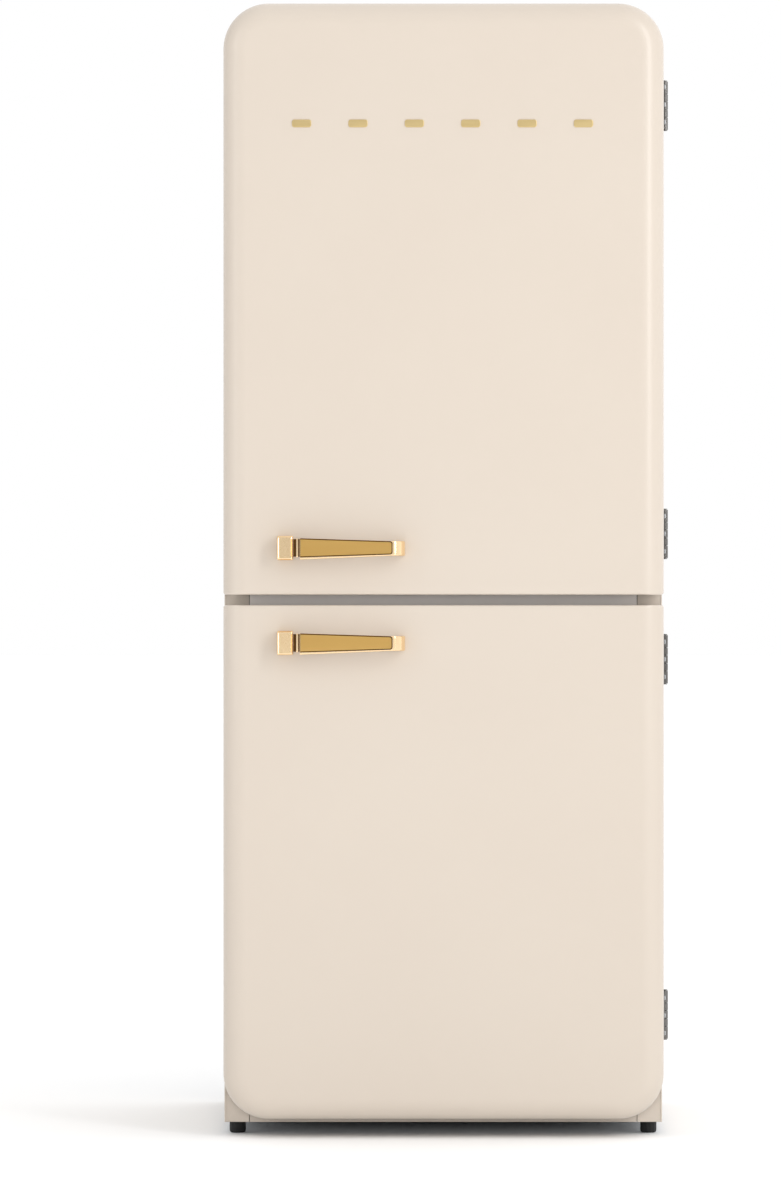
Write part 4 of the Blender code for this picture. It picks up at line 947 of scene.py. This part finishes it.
# Flexible vinyl: soft grey, matt, a little bloom on it.
grey_vinyl = finish(
    "extruded_grey_vinyl", ("#a9a59f", "#b8b4ae"), 0.03, 0.002, 0.00003, (0.48, 0.60), IOR=1.53
)
FACE_MARGIN = 0.0015
LIP_EDGE = 0.0006
SEAL_OUTER, SEAL_INNER = 0.006, 0.024
for kind in ("upper", "lower"):
    low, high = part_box(f"{kind}_door_skin")
    door = (kind, low, high)
    rings = [door_ring(door, ROLL_WIDTH + SHEET + FACE_MARGIN, low.y + SHEET,
                       SPLIT_ROUND + SHEET + FACE_MARGIN)]
    rings += rolled_edge(door, SHEET)[::-1]
    for inset, y in ((SHEET, high.y - SHEET), (DOOR_LIP, high.y - SHEET), (DOOR_LIP, high.y),
                     (LIP_EDGE, high.y), (0.0, high.y - LIP_EDGE)):
        rings.append(door_ring(door, inset, y))
    rings += rolled_edge(door, 0.0)
    rings.append(door_ring(door, ROLL_WIDTH + FACE_MARGIN, low.y, SPLIT_ROUND + FACE_MARGIN))
    fit(f"{kind}_door_pan", loft(rings), cream_enamel, "cream_enamel",
        f"{kind}_door_skin", body=f"{kind}_door")

    seal_low, seal_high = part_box(f"{kind}_door_gasket")
    near, far = seal_low.y, seal_high.y
    folds = [(0.002, near), (0.002, near + 0.0014), (0.005, near + 0.0032), (0.0025, near + 0.0050),
             (0.005, near + 0.0068), (0.0006, near + 0.0082), (0.0, near + 0.0090), (0.0, far - 0.0005),
             (0.0006, far)]
    section = [(SEAL_INNER - fold, y) for fold, y in folds]
    section += [(SEAL_OUTER + fold, y) for fold, y in reversed(folds)]
    bellows = loft([door_ring(door, inset, y) for inset, y in section], closed=True)
    fit(f"{kind}_door_bellows", bellows, grey_vinyl, "grey_seal", f"{kind}_door_gasket", body=f"{kind}_door")


# ---------------- badge
# Six plain brass bars in a row across the top of the upper door, die-cut and stuck on.
# Satin brass: pale gold, brushed softly along its length.
satin_brass = finish(
    "satin_brass", ("#cdb47c", "#dcc592"), 0.01, 0.002, 0.00001, (0.30, 0.42), (0.1, 1, 1), Metallic=0.9
)
BADGES = 6
BADGE_PITCH = 0.0702
BADGE_SHIFT = -0.0015
BADGE_DROP = 0.1516
BADGE_HALF_WIDTH = 0.012
BADGE_HALF_HEIGHT = 0.0048
BADGE_CORNER = 0.0030
BADGE_RISE = 0.0014
BADGE_EDGE = 0.0006
upper_low, upper_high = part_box("upper_door_skin")
z = upper_high.z - BADGE_DROP
badges = []
for number in range(BADGES):
    x = case_x + BADGE_SHIFT + BADGE_PITCH * (number - (BADGES - 1) / 2)
    rings = []
    for inset, rise in ((0.0, 0.0), (0.0, BADGE_RISE * 0.7), (BADGE_EDGE, BADGE_RISE)):
        w, h = BADGE_HALF_WIDTH - inset, BADGE_HALF_HEIGHT - inset
        outline = rounded(x - w, x + w, z - h, z + h, BADGE_CORNER)
        rings.append([(u, upper_low.y - rise, v) for u, v in outline])
    badges.append(loft(rings))
fit("badge_bars", merged(badges), satin_brass, "polished_brass", body="upper_door")


# ---------------- handles
# A die-cast lever handle, brass plated and polished. A square block is bolted to the door. A grooved neck
# joins it to a long grip that tapers away from it, and the far end curls back to the door as a foot.
# A brushed plate is let into the grip's face, and dark brown painted shade fills the grooves.
# Polished brass plate: pale warm gold with crisp reflections.
polished_brass = finish(
    "polished_brass_plate", ("#fddcac", "#ffe3b8"), 0.03, 0.003, 0.000001, (0.10, 0.16), Metallic=1.0
)
# The plate in the grip is brushed along its length before plating, which makes it deeper and satin.
# The real lines are under 0.1 mm and are drawn at 0.6 mm.
brushed_brass = finish(
    "brushed_brass_plate", ("#c39a52", "#dcb571"), 0.030, 0.0006, 0.00002, (0.26, 0.36), (0.04, 1, 1),
    Metallic=1.0,
)
# Painted shade in the grooves: dark brown, half gloss, blacker in places.
groove_shade_paint = finish(
    "brown_painted_groove_shade", ("#2e1803", "#5c3c0e"), 0.006, 0.001, 0.00001, (0.40, 0.50),
    IOR=1.5, Specular_IOR_Level=0.12,
)
GRIP_THICKNESS = 0.008
GRIP_HEIGHT = 0.024
GRIP_END_HEIGHT = 0.017
GRIP_BEND = 0.014
NECK_LENGTH = 0.0085
NECK_HEIGHT = 0.0232
GROOVE = 0.0010
PLATE_RISE = 0.0006
RIM = 0.0026
BLOCK_CORNER = 0.0010
FOOT_BEND_STEPS = 10


def grip_plate(middle, near, far, edge, round_end, back, face):
    """A tapered plate on the grip's face, set in from its edges, with rounded far corners."""
    start, end = GRIP_HEIGHT / 2 - edge, GRIP_END_HEIGHT / 2 - edge
    outline = [(near, middle + start), (near, middle - start)]
    for sign, begin in ((-1, 270), (1, 0)):
        outline += [(far - round_end + u, middle + sign * (end - round_end) + v)
                    for u, v in quarter(round_end, begin, 6)]
    return slab(outline, "y", back, face)


for kind in ("upper", "lower"):
    body = f"{kind}_door"
    low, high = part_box(f"{kind}_handle_base")
    rings = []
    for inset, y in ((0.0, high.y), (0.0, low.y + 0.003), (0.0004, low.y + 0.0014), (0.0012, low.y + 0.0004),
                     (0.0022, low.y)):
        outline = rounded(low.x + inset, high.x - inset, low.z + inset, high.z - inset, BLOCK_CORNER, 4)
        rings.append([(x, y, z) for x, z in outline])
    fit(f"{kind}_handle_block", loft(rings), polished_brass, "polished_brass",
        f"{kind}_handle_base", body=body, sharp=12)

    grip_low, grip_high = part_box(f"{kind}_handle_grip")
    middle = (grip_low.z + grip_high.z) / 2
    front = grip_low.y + PLATE_RISE + GRIP_THICKNESS / 2
    neck_end = grip_low.x + NECK_LENGTH
    foot_x = grip_high.x - GRIP_THICKNESS / 2
    straight = foot_x - GRIP_BEND
    stations = []
    for start, end, sunk in ((0.0, 0.0040, 1), (0.0041, 0.0062, 0), (0.0063, NECK_LENGTH - 0.0002, 1)):
        for along in (start, end):
            stations.append((grip_low.x + along, front, 0.0, GRIP_THICKNESS - 2 * GROOVE * sunk,
                             NECK_HEIGHT - 2 * GROOVE * sunk, 0.0))
    stations += [
        (neck_end, front, 0.0, GRIP_THICKNESS, GRIP_HEIGHT + RIM, RIM),
        (straight, front, 0.0, GRIP_THICKNESS, GRIP_END_HEIGHT + RIM / 2, RIM / 2),
    ]
    for step in range(1, FOOT_BEND_STEPS + 1):
        angle = math.radians(90 * step / FOOT_BEND_STEPS)
        x = straight + GRIP_BEND * math.sin(angle)
        y = front + GRIP_BEND * (1 - math.cos(angle))
        stations.append((x, y, angle, GRIP_THICKNESS, GRIP_END_HEIGHT + RIM / 2, RIM / 2))
    stations.append((foot_x, grip_high.y, math.pi / 2, GRIP_THICKNESS, GRIP_END_HEIGHT + 0.002, 0.001))
    rings = []
    for x, y, angle, thick, tall, drop in stations:
        corner = thick / 6
        low_edge, high_edge = -(tall + drop) / 2, (tall - drop) / 2
        outline = rounded(-thick / 2, thick / 2, low_edge, high_edge, corner, 4)
        rings.append([(x - u * math.sin(angle), y + u * math.cos(angle), middle + v) for u, v in outline])
    fit(f"{kind}_handle_lever", loft(rings), polished_brass, "polished_brass",
        f"{kind}_handle_grip", body=body)

    # Dark strips of painted shade fill the neck's grooves and make a dark outline round the plate.
    bands = []
    for start, end in ((0.0002, 0.0040), (0.0064, NECK_LENGTH - 0.0003)):
        thick, tall = GRIP_THICKNESS - GROOVE * 1.6, NECK_HEIGHT - GROOVE * 1.2
        outline = rounded(front - thick / 2, front + thick / 2, middle - tall / 2, middle + tall / 2,
                          0.001, 4)
        bands.append(slab(outline, "x", grip_low.x + start, grip_low.x + end))
    surface = grip_low.y + PLATE_RISE
    bands.append(grip_plate(middle, neck_end + 0.0004, straight + 0.0022, 0.0002, 0.0032,
                            surface + 0.0004, surface - 0.0002))
    fit(f"{kind}_handle_groove_shade", merged(bands), groove_shade_paint, "polished_brass", body=body)
    inlay = grip_plate(middle, neck_end + 0.0007, straight + 0.0010, 0.0015, 0.0022,
                       surface + 0.0004, grip_low.y)
    fit(f"{kind}_handle_plate", inlay, brushed_brass, "polished_brass", body=body, bevel=0.0002)


# ---------------- hinges
# Four chromed steel butt hinges on the right-hand side. Three knuckles belong to the case's leaf and two
# to the door's; a headed pin runs through them, and countersunk screws hold each leaf.
# Chrome plate darkened to a grey steel tone: painted dark reflection in place of dark surroundings at the
# knuckles' edges. The key light still draws a bright line down each knuckle.
chrome = finish(
    "chrome_plate_painted_dark", ("#6b6967", "#7b7977"), 0.01, 0.002, 0.000005, (0.12, 0.18), Metallic=1.0
)
LEAF_SHEET = 0.0013
PIN_RADIUS = 0.0016
BARREL_RADIUS = 0.0035
KNUCKLE_CHAMFER = 0.0004
END_KNUCKLE = 0.0158
SHORT_KNUCKLE = 0.0094
KNUCKLE_GAP = 0.0003
PIN_HEADS = 0.0026
LEAF_GAP = 0.0003
LEAF_EASE = 0.0003
LEAF_CORNER = 0.0018
WING_GAP = 0.0006
HINGE_SCREW_PITCH = 0.022
HINGE_SCREW_RADIUS = 0.0032
for hinge in ("upper_door_hinge_top", "upper_door_hinge_bottom",
              "lower_door_hinge_top", "lower_door_hinge_bottom"):
    door = hinge.split("_hinge")[0]
    pin_low, pin_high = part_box(f"{hinge}_pin")
    axis = ((pin_low.x + pin_high.x) / 2, (pin_low.y + pin_high.y) / 2)
    middle = (pin_low.z + pin_high.z) / 2
    height = pin_high.z - pin_low.z
    total = height - PIN_HEADS
    centre = total - 2 * END_KNUCKLE - 2 * SHORT_KNUCKLE
    spans = []
    z = middle - total / 2
    for length in (END_KNUCKLE, SHORT_KNUCKLE, centre, SHORT_KNUCKLE, END_KNUCKLE):
        spans.append((z + KNUCKLE_GAP / 2, z + length - KNUCKLE_GAP / 2))
        z += length
    for leaf, body, own, direction in (
        ("case_leaf", "cabinet", (0, 2, 4), 1), ("door_leaf", door, (1, 3), -1)
    ):
        low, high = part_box(f"{hinge}_{leaf}")
        inner = case_x + half_width + LEAF_GAP
        outer = inner + LEAF_SHEET
        far_edge = high.y if direction > 0 else low.y
        near_edge = axis[1] + direction * (BARREL_RADIUS + WING_GAP)
        y_low, y_high = sorted((near_edge, far_edge))
        middle_y = (y_low + y_high) / 2
        outline = rounded(y_low, y_high, spans[0][0] + 0.0004, spans[-1][1] - 0.0004, LEAF_CORNER, 4)
        eased = [(y + (LEAF_EASE if y < middle_y else -LEAF_EASE), z) for y, z in outline]
        layers = ((inner, outline), (outer - LEAF_EASE, outline), (outer, eased))
        shapes = [loft([[(x, y, z) for y, z in ring] for x, ring in layers])]
        for k in own:
            start, end = spans[k]
            profile = ((PIN_RADIUS, start), (BARREL_RADIUS - KNUCKLE_CHAMFER, start),
                       (BARREL_RADIUS, start + KNUCKLE_CHAMFER), (BARREL_RADIUS, end - KNUCKLE_CHAMFER),
                       (BARREL_RADIUS - KNUCKLE_CHAMFER, end), (PIN_RADIUS, end))
            shapes.append(turned(profile, (*axis, 0.0), "z", 28))
            wing = sorted((axis[1], near_edge + direction * 0.001))
            outline = [(wing[0], start + 0.0002), (wing[1], start + 0.0002),
                       (wing[1], end - 0.0002), (wing[0], end - 0.0002)]
            shapes.append(slab(outline, "x", inner, outer))
        fit(f"{hinge}_{leaf}_plate", merged(shapes), chrome, "chrome", f"{hinge}_{leaf}", body=body)
        y = middle_y + direction * 0.002
        heads = [screw_head((outer - 0.0004, y, middle + rise), "x", 1, HINGE_SCREW_RADIUS)
                 for rise in (-HINGE_SCREW_PITCH, 0.0, HINGE_SCREW_PITCH)]
        fit(f"{hinge}_{leaf}_screws", merged(heads), zinc_plate, "chrome", body=body)
    profile = [(0.0016, 0.0), (0.0026, 0.0002), (0.0029, 0.0006), (0.0029, 0.0010), (PIN_RADIUS, 0.0010)]
    profile += [(radius, height - along) for radius, along in reversed(profile)]
    pin = turned(profile, (*axis, pin_low.z), "z", 24)
    fit(f"{hinge}_headed_pin", pin, chrome, "chrome", f"{hinge}_pin")
